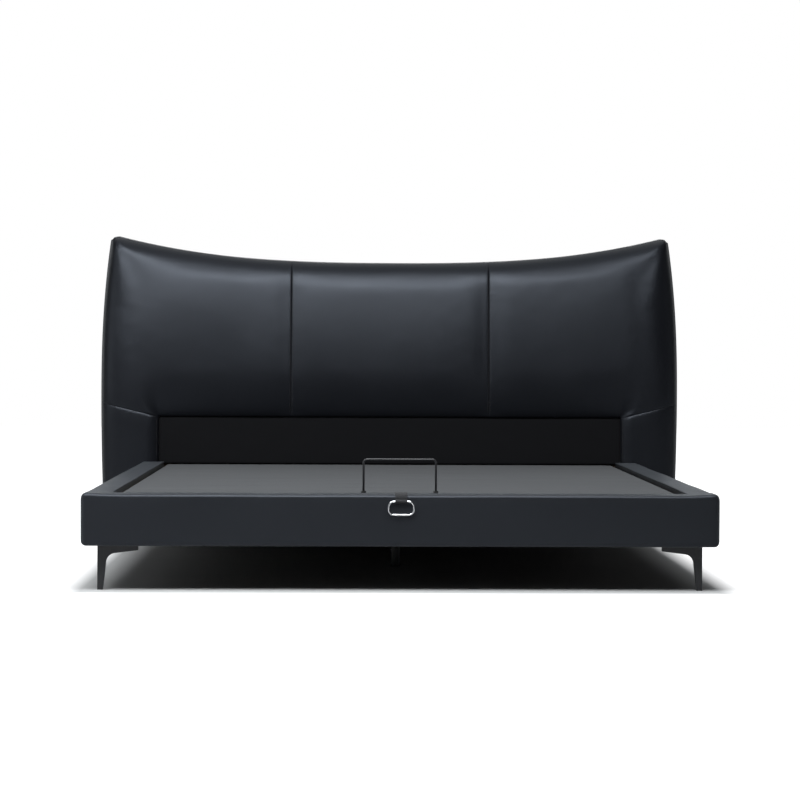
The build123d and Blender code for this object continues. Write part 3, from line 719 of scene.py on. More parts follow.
def puff(piece: bpy.types.Object, held: Array, cap: float, pressure: float = 4.0, frames: int = 20,
         evening: int = 40) -> None:
    """Swells a pad by cloth simulation and keeps the result in its mesh.

    Weights over the points say how firmly they are held, so the seams
    and the side against the frame stay where they are; no point moves further than the cap.

    Args:
        piece: the pad, a closed mesh.
        held: one weight a point, 1 for a fixed point.
        cap: the furthest that a point may move, in metres.
        pressure: pressure of the filling.
        frames: number of frames that are run.
        evening: how many times each point's move is averaged with its neighbours', as taut
            leather is too stiff for small wrinkles.
    """
    mesh, scene = piece.data, bpy.context.scene
    start = corners(piece)
    group = piece.vertex_groups.new(name="held")
    for level in np.unique(np.round(held, 1)):
        group.add(np.flatnonzero(np.round(held, 1) == level).tolist(), float(level), "REPLACE")
    cloth = piece.modifiers.new("puff", "CLOTH")
    for key, value in {"quality": 4, "mass": 0.3, "tension_stiffness": 15.0,
                       "compression_stiffness": 15.0, "bending_stiffness": 4.0,
                       "use_pressure": True, "uniform_pressure_force": pressure,
                       "vertex_group_mass": group.name}.items():
        setattr(cloth.settings, key, value)
    cloth.settings.effector_weights.gravity = 0.0
    cloth.collision_settings.use_collision = False
    cloth.point_cache.frame_end = frames
    for number in range(1, frames + 1):
        scene.frame_set(number)
    end = corners(piece.evaluated_get(bpy.context.evaluated_depsgraph_get()))
    piece.modifiers.remove(cloth)
    piece.vertex_groups.clear()
    scene.frame_set(1)
    move = evened(mesh, end - start, evening)
    length = np.maximum(np.linalg.norm(move, axis=1, keepdims=True), 1e-9)
    move = move / length * cap * np.tanh(length / cap) * (1.0 - held[:, None])
    mesh.vertices.foreach_set("co", (start + move).astype(np.float32).ravel())
    mesh.update()
    LOG.info("%s: filled, largest move %.1f mm", piece.name, 1000.0 * float(np.abs(move).max()))


# ---- headboard -----------------------------------------------------------------------------
EDGE_INSETS = (0.0, 0.0008, 0.002, 0.004, 0.007, 0.011, 0.015, 0.0205, 0.0262, 0.0272, 0.034)
SEAM_INSETS = (0.0, 0.0012, 0.0028, 0.005, 0.008, 0.012)
MITRE_INSETS = (0.0, 0.0015, 0.004, 0.008, 0.014, 0.02)
RECESS_INSETS = (0.0, 0.001, 0.0025, 0.005, 0.009, 0.014)
ROLL_END_INSETS = (0.0, 0.0008, 0.003, 0.007, 0.012, 0.02, 0.03)
ROLL_INSETS = (0.0, 0.001, 0.003, 0.006, 0.01, 0.016, 0.024)
PANEL_INSETS = (0.0, 0.001, 0.003, 0.006)


@dataclass(frozen=True)
class Seam:
    """Valley along a seam: a broad dip, a sharp fold in its middle and puckers beside it."""

    dip: float
    dip_width: float
    fold: float
    fold_width: float
    pucker: float
    pucker_width: float

    def valley(self, away: Array) -> Array:
        """Depth of the valley: a bell curve of the distance, and a falling exponential."""
        return (self.dip * np.exp(-(away / self.dip_width) ** 2)
                + self.fold * np.exp(-away / self.fold_width))

    def puckers(self, away: Array) -> Array:
        """Size of the puckers: a falling exponential of the distance."""
        return self.pucker * np.exp(-away / self.pucker_width)


@dataclass
class Headboard:
    """Wide headboard: a U of padded leather round a woven recess, rolled over at the top."""

    lean_start: float = 0.45
    lean_radius: float = 3.5
    centre_height: float = 1.111
    ear_rise: float = 0.102
    ear_half_width: float = 1.12
    ear_power: float = 2.6
    ear_x: float = 1.135
    ear_drop: tuple[float, float] = (0.012, 0.004)
    widest: float = 1.168
    waist_height: float = 0.62
    upper_taper: float = 0.1035
    upper_power: float = 2.264
    lower_taper: float = 0.033
    seam_x: float = 0.40
    seam_depth: float = 0.020
    front_depth: float = 0.073
    side_round: float = 0.165
    top_round: float = 0.12
    cell: float = 0.0065
    tension: float = 0.0016
    tension_reach: float = 0.16
    thread_offset: float = 0.004
    thread_top: float = 1.06
    cushion_height: float = 0.73
    roll_height: float = 0.21
    roll_depth: float = 0.040
    board_depth: float = 0.0455
    upright_seam: Seam = Seam(0.0035, 0.05, 0.004, 0.004, 0.00022, 0.014)
    mitre_seam: Seam = Seam(0.0018, 0.03, 0.003, 0.0035, 0.0003, 0.015)

    def __post_init__(self) -> None:
        """Reads the sizes that the frame settles."""
        low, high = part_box("recess_fabric_panel")
        self.recess_half = high[0]
        self.recess_low, self.recess_top = low[2], high[2]
        self.recess_face = low[1]
        self.lumber_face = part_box("recess_board")[1][1]
        low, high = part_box("left_wing_pad")
        self.bottom = low[2]
        self.mitre_rise = high[2] - self.recess_top
        self.lip_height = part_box("headboard_back_lining")[1][2]

    def half_width(self, z: Array) -> Array:
        """Half width at a height: widest at the waist, drawn in above by a power of the height."""
        above = np.maximum(z - self.waist_height, 0.0)
        below = np.maximum(self.waist_height - z, 0.0)
        drawn_in = self.upper_taper * above ** self.upper_power
        return self.widest - drawn_in - self.lower_taper * below ** 2

    def top_edge(self, x: Array) -> Array:
        """Height of the concave top edge: the middle height plus a power of the distance out."""
        out = np.abs(x) / self.ear_half_width
        return self.centre_height + self.ear_rise * out ** self.ear_power

    def lean(self, z: Array) -> Array:
        """Backward curve: an arc that starts upright at the lean's start."""
        rise = np.maximum(z - self.lean_start, 0.0)
        return self.lean_radius - np.sqrt(self.lean_radius ** 2 - rise ** 2)

    def mitre(self, x: Array) -> Array:
        """Height of the slanting seam beside the recess, level with its top inside it."""
        slope = self.mitre_rise / (self.widest - self.recess_half)
        return self.recess_top + slope * np.maximum(np.abs(x) - self.recess_half, 0.0)

    def face(self, x: Array, z: Array, from_side: Array, from_top: Array) -> Array:
        """Depth of the leather's face.

        Formula: the seam line's depth, less the padding, which is a product of quarter rounds in
        from the side, from the top and from the recess; then creases at the seams, and swells.

        Args:
            x: places across.
            z: heights.
            from_side: distance in from the outer edge.
            from_top: distance down from the top edge.

        Returns:
            Places along the bed.
        """
        out = np.maximum(np.abs(x) - self.recess_half, 0.0)
        up = np.maximum(z - self.recess_top, 0.0)
        inner = np.hypot(out, up)
        above = up / np.maximum(inner, 1e-6)
        inner_round = 0.05 + 0.15 * above ** 2
        tuck = 1.0 - 0.5 * (1.0 - roll(inner, inner_round))
        foot = 1.0 - 0.7 * (1.0 - roll(z - self.bottom, 0.02))
        side_round = self.side_round * np.clip(0.3 + from_top / 0.40, 0.3, 1.0)
        top_round = self.top_round * np.clip(0.55 + from_side / 0.70, 0.55, 1.0)
        padding = self.front_depth * roll(from_side, side_round, 3.0)
        padding = padding * roll(from_top, top_round, 3.0) * tuck * foot
        flat = roll(from_side, 0.05) * roll(from_top, 0.05)
        from_seam = np.abs(np.abs(x) - self.seam_x)
        above_recess = np.clip((z - self.recess_top) / 0.02, 0.0, 1.0)
        upright = above_recess * self.upright_seam.valley(from_seam)
        from_mitre = np.abs(z - self.mitre(x))
        beside = np.clip(out / 0.01, 0.0, 1.0)
        slant = beside * self.mitre_seam.valley(from_mitre)
        swell = 0.0010 * ripple(x, z, 0.9, 0.8, 11) + 0.00006 * ripple(x, z, 0.16, 0.12, 12)
        pucker = self.upright_seam.puckers(from_seam) * ripple(z, x, 0.035, 0.3, 13)
        pucker = pucker + beside * self.mitre_seam.puckers(from_mitre) * ripple(x, z, 0.03, 0.3, 14)
        ear = np.hypot(from_side, from_top)
        bearing = np.arctan2(from_top, from_side + 1e-6)
        tension = self.tension * np.exp(-ear / self.tension_reach) * np.sin(9.0 * bearing)
        tension = tension * np.clip(ear / 0.03, 0.0, 1.0) * (from_top < 0.5)
        marks = flat * (upright + slant + swell + pucker + tension)
        return self.lumber_face + self.lean(z) + self.seam_depth - padding + marks

    def inner(self, z: Array, from_side: Array, from_top: Array) -> Array:
        """Depth of the padding's inner face: round the back board's edge, then on the frame."""
        distance = np.minimum(from_side, from_top)
        insets = (0.0, 0.002, 0.008, 0.018, 0.0262, 0.0272)
        depths = (self.seam_depth, 0.032, 0.042, self.board_depth, self.board_depth, -0.001)
        return self.lumber_face + self.lean(z) + np.interp(distance, insets, depths)

    def cushion(self, name: str, x: Array, z: Array, from_side: Array,
                from_top: Array) -> bpy.types.Object:
        """Closed cushion between the leather's face and the padding's inner face."""
        return closed_slab(name, (x, self.face(x, z, from_side, from_top), z),
                           (x, self.inner(z, from_side, from_top), z))

    def eared(self, x: Array, z: Array, from_side: Array, from_top: Array) -> tuple[Array, Array]:
        """Draws points near an ear's corner inwards and down, which rounds it."""
        inwards, down = self.ear_drop
        corner = np.exp(-from_top / 0.012) * np.exp(-from_side / 0.03)
        return x - inwards * corner * np.sign(x), z - down * corner

    def upper(self, name: str, side: int) -> bpy.types.Object:
        """One of the three upper cushions.

        Args:
            name: name of the piece.
            side: -1 for the left, 0 for the middle, 1 for the right.

        Returns:
            The closed cushion.
        """
        height = self.cushion_height
        down = graded(height, self.cell, EDGE_INSETS, MITRE_INSETS)
        if side:
            span = self.widest - self.seam_x
            across = graded(span, self.cell, EDGE_INSETS, SEAM_INSETS)
            flat_x = self.widest - across
        else:
            across = graded(2 * self.seam_x, self.cell, SEAM_INSETS, SEAM_INSETS)
            flat_x = self.seam_x - across
        low = self.mitre(flat_x)
        top = self.top_edge(np.minimum(np.abs(flat_x), self.ear_x + 0.005))
        scale = (top - low) / height
        from_top = down[:, None] * scale[None, :]
        z = top[None, :] - from_top
        if side:
            width = self.half_width(z)
            from_side = across[None, :] * (width - self.seam_x) / span
            x, z = self.eared((width - from_side) * side, z, from_side, from_top)
        else:
            x = np.broadcast_to(flat_x[None, :], z.shape)
            from_side = self.half_width(z) - np.abs(x)
        return self.cushion(name, x, z, from_side, from_top)

    def wing(self, name: str, side: int) -> bpy.types.Object:
        """One of the two lower columns beside the recess, up to the mitre seam."""
        span = self.widest - self.recess_half
        across = graded(span, 0.005, EDGE_INSETS, RECESS_INSETS)
        top = self.mitre(self.widest - across)
        height = float(top.max()) - self.bottom
        down = graded(height, 0.007, (0.0, 0.0015, 0.004, 0.007), (0.0, 0.002, 0.005, 0.01, 0.02))
        z = top[None, :] - down[:, None] * ((top - self.bottom) / height)[None, :]
        width = self.half_width(z)
        from_side = across[None, :] * (width - self.recess_half) / span
        return self.cushion(name, (width - from_side) * side, z, from_side, np.full_like(z, 1.0))

    def back_roll(self) -> bpy.types.Object:
        """The roll behind the top edge: a long cushion between the top edge and its lower lip."""
        share = graded(2.0, 0.012, ROLL_END_INSETS, ROLL_END_INSETS) - 1.0
        height = self.roll_height
        down = graded(height, 0.008, ROLL_INSETS, ROLL_INSETS[:-1])
        top = self.top_edge(share * self.ear_x)
        scale = (top - self.lip_height) / height
        from_top = down[:, None] * scale[None, :]
        z = top[None, :] - from_top
        width = self.half_width(z)
        from_side = width - np.abs(share[None, :] * width)
        x, z = self.eared(share[None, :] * width, z, from_side, from_top)
        base = self.lumber_face + self.lean(z) + self.board_depth + 0.0003
        from_lip = roll(height * scale[None, :] - from_top, 0.03)
        bulge = self.roll_depth * roll(from_side, 0.06) * roll(from_top, 0.055) * from_lip
        swell = 0.0008 * ripple(x, z, 0.3, 0.2, 21)
        bulge = bulge + swell * roll(from_side, 0.1) * roll(from_top, 0.05) * from_lip
        return closed_slab("headboard_back_roll", (x, base + bulge, z), (x, base, z))

    def outline(self) -> Array:
        """Line of the piping: the seam round the sides and top, from lower left to lower right."""
        inwards, down = self.ear_drop
        ear_x = self.half_width(self.top_edge(self.ear_x)) - inwards
        up = np.linspace(self.bottom + 0.01, self.top_edge(ear_x) - 4.0 * down, 110)
        side_x = self.half_width(up)
        top_x = np.linspace(ear_x - down, down - ear_x, 260)[::-1]
        x = np.concatenate([-side_x, top_x, side_x[::-1]])
        z = np.concatenate([up, self.top_edge(top_x) - 0.002, up[::-1]])
        return np.stack([x, self.lumber_face + self.lean(z) + self.seam_depth, z], axis=1)

    def recess(self) -> bpy.types.Object:
        """The woven panel: a thin cushion that is drawn in at its edges."""
        gap = 0.0005
        half, height = self.recess_half - gap, self.recess_top - gap - self.recess_low
        x, z, from_edge = laid_out(
            graded(2 * half, 0.012, PANEL_INSETS, PANEL_INSETS) - half,
            graded(height, 0.008, PANEL_INSETS, PANEL_INSETS) + self.recess_low)
        face = self.recess_face + 0.0025 - 0.0022 * roll(from_edge, 0.012)
        face = face + 0.0004 * ripple(x, z, 0.3, 0.15, 31) * roll(from_edge, 0.05)
        back = np.full_like(face, self.recess_face + 0.0028)
        return closed_slab("recess_woven_panel", (x, face, z), (x, back, z))

    def lining(self) -> bpy.types.Object:
        """The cloth stretched over the back board, slightly loose between its fixings."""
        share, z, from_edge = laid_out(graded(2.0, 0.02, (0.0, 0.004), (0.0, 0.004)) - 1.0,
                                       np.linspace(self.bottom, self.lip_height + 0.004, 90))
        x = share * (self.half_width(z) - 0.008)
        base = self.lumber_face + self.lean(z) + self.board_depth + 0.0007
        slack = 1.0 + 0.6 * ripple(x, z, 0.7, 0.5, 41)
        loose = 0.0012 * slack * np.clip(from_edge / 0.06, 0.0, 1.0)
        return closed_slab("back_lining_cloth", (x, base + 0.001 + loose, z),
                           (x, base + loose * 0.99, z))

    def seam_lines(self) -> list[Array]:
        """Lines of stitching beside the upright seams, the mitre seams and the recess."""
        lines = []
        for side in (-1.0, 1.0):
            for offset in (-self.thread_offset, self.thread_offset):
                z = np.linspace(self.recess_top + 0.02, self.thread_top, 90)
                x = np.full_like(z, side * self.seam_x + offset)
                lines.append(self.on_face(x, z))
            x = np.linspace(self.recess_half + 0.012, self.widest - 0.05, 40) * side
            lines.append(self.on_face(x, self.mitre(x) - self.thread_offset))
            z = np.linspace(self.recess_low + 0.02, self.recess_top - 0.01, 40)
            lines.append(self.on_face(np.full_like(z, side * (self.recess_half + 0.008)), z))
        return lines

    def fill(self, piece: bpy.types.Object) -> None:
        """Swells a cushion by cloth simulation, held at its seams, its edges and the frame.

        Formula: a point is as free as it stands proud of the lumber face, times how far it is
        from the upright and slanting seams and from the sides.
        """
        x, y, z = corners(piece).T
        reach = 0.05
        proud = np.clip((self.lumber_face + self.lean(z) - y) / 0.045, 0.0, 1.0)
        from_seam = np.clip(np.abs(np.abs(x) - self.seam_x) / reach, 0.0, 1.0)
        from_mitre = np.clip(np.abs(z - self.mitre(x)) / reach, 0.0, 1.0)
        from_side = np.clip((self.half_width(z) - np.abs(x) - 0.04) / 0.16, 0.0, 1.0)
        puff(piece, 1.0 - proud * from_seam * from_mitre * from_side, cap=0.0030)

    def on_face(self, x: Array, z: Array) -> Array:
        """Points lying on the leather's face."""
        y = self.face(x, z, self.half_width(z) - np.abs(x), self.top_edge(x) - z)
        return np.stack([x, y - 0.0002, z], axis=1)

    def build(self) -> None:
        """Makes and dresses every piece of the headboard."""
        for name, side in (("left", -1), ("centre", 0), ("right", 1)):
            pad = dress(self.upper(f"{name}_headboard_cushion", side), Slot.leather, "frame",
                        f"headboard_{name}_pad")
            self.fill(pad)
        for name, side in SIDES:
            pad = dress(self.wing(f"{name}_wing_cushion", side), Slot.leather, "frame",
                        f"{name}_wing_pad")
            self.fill(pad)
        back = dress(self.back_roll(), Slot.leather, "frame")
        dress(tube("headboard_piping", self.outline(), 0.0028), Slot.leather, "frame")
        thread = stitches("headboard_stitching", self.seam_lines(), (0.0, -1.0, 0.0))
        dress(thread, Slot.webbing, "frame")
        panel = dress(self.recess(), Slot.woven_panel, "frame", "recess_fabric_panel")
        cloth = dress(self.lining(), Slot.lining, "frame", "headboard_back_lining")


# ---- rails ---------------------------------------------------------------------------------
END_STEPS = np.array((0.0, 0.03, 0.12, 0.27, 0.5, 0.75, 1.0))


@dataclass
class PaddedRail:
    """One upholstered rail: a soft rounded section carried along its length."""

    node: str
    name: str
    along: int
    hem_side: int
    end_rounds: tuple[float, float]
    top_round: float = 0.011
    inner_round: float = 0.003
    bottom_round: float = 0.006
    crown: float = 0.0035
    hem_step: float = 0.0013
    hem_height: float = 0.010
    crease_depth: float = 0.0008
    corner_lift: float = 0.004
    seed: int = 51

    def section(self, half_w: float, half_h: float) -> Array:
        """Rounded rectangle as offsets across and up; the build adds the hem as a low step near the
        bottom.

        Args:
            half_w: half of the width.
            half_h: half of the height.

        Returns:
            Points round the section, anticlockwise.
        """
        low = self.bottom_round
        left, right = (self.top_round, self.inner_round)[::-self.hem_side]
        edge = np.linspace(0.0, 1.0, 34)[1:-1]
        bends = [
            arc((half_w - low, -half_h + low), low, -90, 0, 7),
            arc((half_w - right, half_h - right), right, 0, 90, 12),
            arc((-half_w + left, half_h - left), left, 90, 180, 12),
            arc((-half_w + low, -half_h + low), low, 180, 270, 7),
        ]
        pieces = []
        for bend, following in zip(bends, bends[1:] + bends[:1]):
            pieces.append(bend)
            pieces.append(bend[-1] + edge[:, None] * (following[0] - bend[-1]))
        return np.concatenate(pieces)

    def build(self) -> bpy.types.Object:
        """Carries the section along the rail and dresses it.

        Formula: the section shrinks by a quarter round at each end; its outer face swells by a
        parabola over the height; the top lifts a little near the ends; slow ripples are added.
        """
        low, high = box(self.node)
        across = 1 - self.along
        middle = (low + high) / 2.0
        half = (high - low) / 2.0
        loop = self.section(half[across] - self.crown / 2.0, half[2])
        length = 2.0 * half[self.along]
        first, last = self.end_rounds
        stations = graded(length, 0.012, first * END_STEPS, last * END_STEPS)
        shrink = first * (1.0 - roll(stations, first))
        shrink = shrink + last * (1.0 - roll(length - stations, last))
        width = loop[None, :, 0] * (1.0 - shrink[:, None] / half[across])
        rise = loop[None, :, 1] * (1.0 - shrink[:, None] / half[2])
        from_end = np.minimum(stations, length - stations)[:, None]
        level = np.clip(rise / half[2], -1.0, 1.0)
        facing = np.clip((width * self.hem_side) / (half[across] - 0.012), 0.0, 1.0) ** 4
        swell = self.crown * (1.0 - level ** 2) * facing * np.clip(from_end / 0.05, 0.0, 1.0)
        above_hem = rise + half[2] - self.hem_height
        hem = self.hem_step * facing / (1.0 + np.exp(above_hem / 0.0008))
        crease = -self.crease_depth * facing * np.exp(-((above_hem - 0.0015) / 0.0015) ** 2)
        place = low[self.along] + stations[:, None]
        wave = 0.0004 * ripple(place, rise + width, 0.55, 0.30, self.seed)
        wave = wave + 0.00004 * ripple(place, rise + width, 0.16, 0.14, self.seed + 1)
        lift = self.corner_lift * np.exp(-(from_end / 0.07) ** 2) - 0.0012
        on_top = np.clip(level, 0.0, 1.0) ** 6
        outwards = swell + hem + crease + wave * facing
        across_place = middle[across] + width + self.hem_side * outwards
        height = middle[2] + rise + on_top * (lift + wave - 0.0008)
        rings = np.empty((*across_place.shape, 3))
        rings[..., self.along] = place
        rings[..., across] = across_place
        rings[..., 2] = height
        ends = []
        for ring in (rings[0], rings[-1]):
            centre = ring.mean(axis=0)
            ends.append([centre + share * (ring - centre) for share in (0.0, 0.25, 0.5, 0.75, 0.9)])
        rings = np.concatenate([ends[0], rings, ends[1][::-1]])
        quads = grid_quads(len(rings), rings.shape[1], wrap=True)
        piece = make_mesh(self.name, rings.reshape(-1, 3), quads)
        dress(piece, Slot.leather, "frame", self.node)
        self.face_finish(piece)
        return piece

    def face_finish(self, piece: bpy.types.Object) -> None:
        """Gives the hazier rail leather to the rail, and the plain, darker leather to the faces
        turned towards the platform, as painted shade in the gap beside it.
        """
        mesh = piece.data
        mesh.materials[0] = bpy.data.materials.get(RAIL_LEATHER.name) or RAIL_LEATHER.build()
        mesh.materials.append(Slot.leather.material())
        normals = np.empty(len(mesh.polygons) * 3)
        mesh.polygons.foreach_get("normal", normals)
        # faces turned towards the platform: the darker plain leather there is painted shade
        gap_shaded = normals.reshape(-1, 3)[:, 1 - self.along] * self.hem_side < -0.6
        mesh.polygons.foreach_set("material_index", gap_shaded.astype(np.int32))


@dataclass
class Rails:
    """The three upholstered rails."""

    def build(self) -> None:
        """Makes the foot rail and both side rails."""
        PaddedRail("foot_rail_pad", "foot_rail_cushion", 0, -1, (0.018, 0.018)).build()
        for name, side in SIDES:
            PaddedRail(f"{name}_rail_pad", f"{name}_rail_cushion", 1, side, (0.006, 0.004),
                       corner_lift=0.0, seed=60 + side).build()


# ---- platform ------------------------------------------------------------------------------
@dataclass
class Platform:
    """Mattress platform: cloth cover, retainer bar, pull strap and ring."""

    cloth_round: float = 0.006
    strap_width: float = 0.037
    strap_thick: float = 0.002

    def __post_init__(self) -> None:
        """Reads the sizes that the frame settles."""
        self.low, self.high = box("platform_cover")

    def cover(self) -> bpy.types.Object:
        """Cloth over the deck: a skin with rounded edges and fine creases across the bed."""
        near = (0.0, 0.0004, 0.0012, 0.0021, 0.0035, 0.006, 0.01)
        width, length, thick = self.high - self.low
        bottom = self.low[2]
        x, y, from_edge = laid_out(self.low[0] + graded(width, 0.03, near, near),
                                   self.low[1] + graded(length, 0.0055, near, near))
        creases = 0.00030 * ripple(x, y, 1.6, 0.035, 71) + 0.0004 * ripple(x, y, 1.1, 0.11, 72)
        creases = creases * np.clip(from_edge / 0.03, 0.0, 1.0)
        outer = bottom + thick * roll(from_edge, self.cloth_round) - 0.0006 + creases
        outer = np.where(from_edge <= 0.0, bottom, outer)
        inner = bottom + (thick - 0.0019) * roll(from_edge - 0.0011, self.cloth_round - 0.001)
        inner = np.where(from_edge <= 0.0011, bottom, np.minimum(inner, outer - 0.0002))
        return closed_slab("platform_cloth", (x, y, np.maximum(outer, bottom)), (x, y, inner))

    def upright(self, flat: Array, y: float) -> Array:
        """Flat points as points of the upright plane at y, which faces the foot."""
        return np.stack([flat[:, 0], np.full(len(flat), y), flat[:, 1]], axis=1)

    def retainer(self) -> bpy.types.Object:
        """The bent bar that keeps the mattress in place: one wire with two round bends."""
        low, high = box("mattress_retainer")
        radius = (high[1] - low[1]) / 2.0
        bend = 0.012
        right, top, y = high[0] - radius, high[2] - radius, (low[1] + high[1]) / 2.0
        half = np.concatenate([[[right, low[2]]], arc((right - bend, top - bend), bend, 0, 90, 12)])
        flat = np.concatenate([half, half[::-1] * np.array((-1.0, 1.0))])
        return tube("retainer_bar", self.upright(flat, y), radius, sides=18)

    def ring(self) -> bpy.types.Object:
        """The pull ring: round wire bent to a long oval."""
        low, high = box("pull_ring")
        wire = (high[1] - low[1]) / 2.0
        half_w, half_h = (high[0] - low[0]) / 2.0 - wire, (high[2] - low[2]) / 2.0 - wire
        corner = 0.017
        middle_z, y = (low[2] + high[2]) / 2.0, (low[1] + high[1]) / 2.0
        turns = []
        for sign_x, sign_z, start in ((1, 1, 0), (-1, 1, 90), (-1, -1, 180), (1, -1, 270)):
            centre = (sign_x * (half_w - corner), middle_z + sign_z * (half_h - corner))
            turns.append(arc(centre, corner, start, start + 90, 14))
        path = self.upright(np.concatenate(turns), y)
        return tube("pull_ring_wire", path, wire, loop=True, sides=20)

    def strap_path(self) -> Array:
        """Centre line of the strap, edge on: from the deck to the loop round the ring."""
        ring_low, ring_high = box("pull_ring")
        rail_low, rail_high = box("foot_rail_pad")
        half = self.strap_thick / 2.0
        wire = (ring_high[1] - ring_low[1]) / 2.0
        ring_y, bar_z = (ring_low[1] + ring_high[1]) / 2.0, ring_high[2] - wire
        top = box("pull_strap")[1][2] - half
        front = rail_low[1] - 0.001 - half
        bend = 0.015
        deck = self.high[2] + half
        start = self.low[1] + 0.065
        over = arc((front + bend, top - bend), bend, 90, 180, 12)
        around = arc((ring_y, bar_z), wire + 0.0003 + half, 0, -300, 40)
        lead = np.array([[start, deck], [start - 0.03, deck], [self.low[1] + 0.006, deck + 0.0005],
                         [rail_high[1] - 0.004, top - 0.001], [rail_high[1] - 0.014, top]])
        return np.concatenate([lead, over, around])

    def strap(self) -> bpy.types.Object:
        """Webbing: a flat section with rounded edges carried along the strap's line."""
        line = self.strap_path()
        along = np.gradient(line, axis=0)
        along /= np.linalg.norm(along, axis=1, keepdims=True)
        normal = np.stack([-along[:, 1], along[:, 0]], axis=1)
        half_w, half_t = self.strap_width / 2.0, self.strap_thick / 2.0
        edge = arc((half_w - half_t, 0.0), half_t, -90, 90, 6)
        inner = np.linspace(1.0, -1.0, 14)[1:-1, None] * np.array((half_w - half_t, 0.0))
        section = np.concatenate([edge, inner + (0.0, half_t), -edge, -inner - (0.0, half_t)])
        rings = np.empty((len(line), len(section), 3))
        rings[..., 0] = section[None, :, 0]
        rings[..., 1:] = line[:, None] + section[None, :, 1, None] * normal[:, None]
        flat_end = [np.broadcast_to(rings[i].mean(axis=0), rings[i].shape) for i in (0, -1)]
        rings = np.concatenate([flat_end[0][None], rings, flat_end[1][None]])
        return make_mesh("pull_strap_webbing", rings.reshape(-1, 3),
                         grid_quads(len(rings), len(section), wrap=True))

    def patch(self) -> bpy.types.Object:
        """Woven patch that holds the strap to the deck, with soft edges."""
        low, high = box("strap_patch")
        near = (0.0, 0.0003, 0.001, 0.002)
        x, y, from_edge = laid_out(*(
            low[axis] + graded(high[axis] - low[axis], 0.004, near, near) for axis in (0, 1)))
        top = low[2] + (high[2] - low[2]) * roll(from_edge, 0.0018)
        base = np.full_like(top, low[2] + 0.0001)
        return closed_slab("strap_patch_cloth", (x, y, top), (x, y, base))

    def patch_stitching(self) -> bpy.types.Object:
        """A boxed cross of thread on the patch."""
        low, high = box("strap_patch")
        inset, z = 0.005, high[2] + 0.0001
        x0, x1, y0, y1 = low[0] + inset, high[0] - inset, low[1] + inset, high[1] - inset
        square = np.array([[x0, y0, z], [x1, y0, z], [x1, y1, z], [x0, y1, z], [x0, y0, z]])
        lines = [square[i:i + 2] for i in range(4)] + [square[[0, 2]], square[[1, 3]]]
        return stitches("patch_stitching", lines, (0.0, 0.0, 1.0), step=0.004, length=0.003,
                        thick=0.0004)

    def build(self) -> None:
        """Makes and dresses the platform's visible pieces."""
        cloth = dress(self.cover(), Slot.platform_fabric, "platform", "platform_cover")
        dress(self.retainer(), Slot.leg_metal, "platform", "mattress_retainer")
        dress(self.strap(), Slot.webbing, "platform", "pull_strap")
        dress(self.patch(), Slot.webbing, "platform", "strap_patch")
        dress(self.patch_stitching(), Slot.webbing, "platform")
        dress(self.ring(), Slot.chrome, "ring", "pull_ring")


# ---- carried-over CAD pieces ---------------------------------------------------------------
@dataclass
class Carcass:
    """Every CAD node that is shown as it is, in the finish of its slot."""

    def build(self) -> None:
        """Puts the slot's material on each node."""
        slots = {part["node"]: part["material_slot"] for part in frame["record"]["subparts"]}
        for node, piece in frame["nodes"].items():
            material = Slot[slots[node]].material()
            if not piece.material_slots:
                piece.data.materials.append(material)
            for holder in piece.material_slots:
                holder.material = material
        LOG.info("carcass: %d nodes", len(slots))


# ---- studio --------------------------------------------------------------------------------
@dataclass(frozen=True)
class SoftLight:
    """Rectangular soft light: where it hangs, what it faces, its sides and its watts."""

    name: str
    place: tuple[float, float, float]
    aim: tuple[float, float, float]
    size: tuple[float, float]
    power: float

    def hang(self, colour: tuple[float, float, float]) -> None:
        """Puts the light into the scene, out of the camera's sight."""
        data = bpy.data.lights.new(self.name, "AREA")
        data.shape = "RECTANGLE"
        data.size, data.size_y = self.size
        data.energy = self.power
        data.color = colour
        lamp = place_object(self.name, data)
        lamp.location = self.place
        lamp.visible_camera = False
        towards = Vector(self.aim) - Vector(self.place)
        lamp.rotation_euler = towards.to_track_quat("-Z", "Y").to_euler()


SOFT_LIGHTS = (
    SoftLight("key", (-1.0, -2.36, 3.40), (-1.0, -1.805, 2.57), (4.6, 1.84), 300.0),
    SoftLight("left_wall", (-5.5, -1.2, 2.1), (0.0, 0.0, 0.5), (3.0, 3.2), 36.0),
    SoftLight("right_wall", (5.5, -0.5, 1.2), (0.0, 0.0, 0.3), (3.0, 2.4), 4.0),
    SoftLight("rear", (0.0, 6.5, 2.4), (0.0, 1.1, 0.6), (5.0, 2.0), 80.0),
    SoftLight("left_back", (-5.0, 5.0, 1.6), (-1.1, 1.1, 0.8), (4.0, 3.0), 24.0),
    SoftLight("right_back", (5.0, 5.0, 1.6), (1.1, 1.1, 0.8), (4.0, 3.0), 15.0),
)


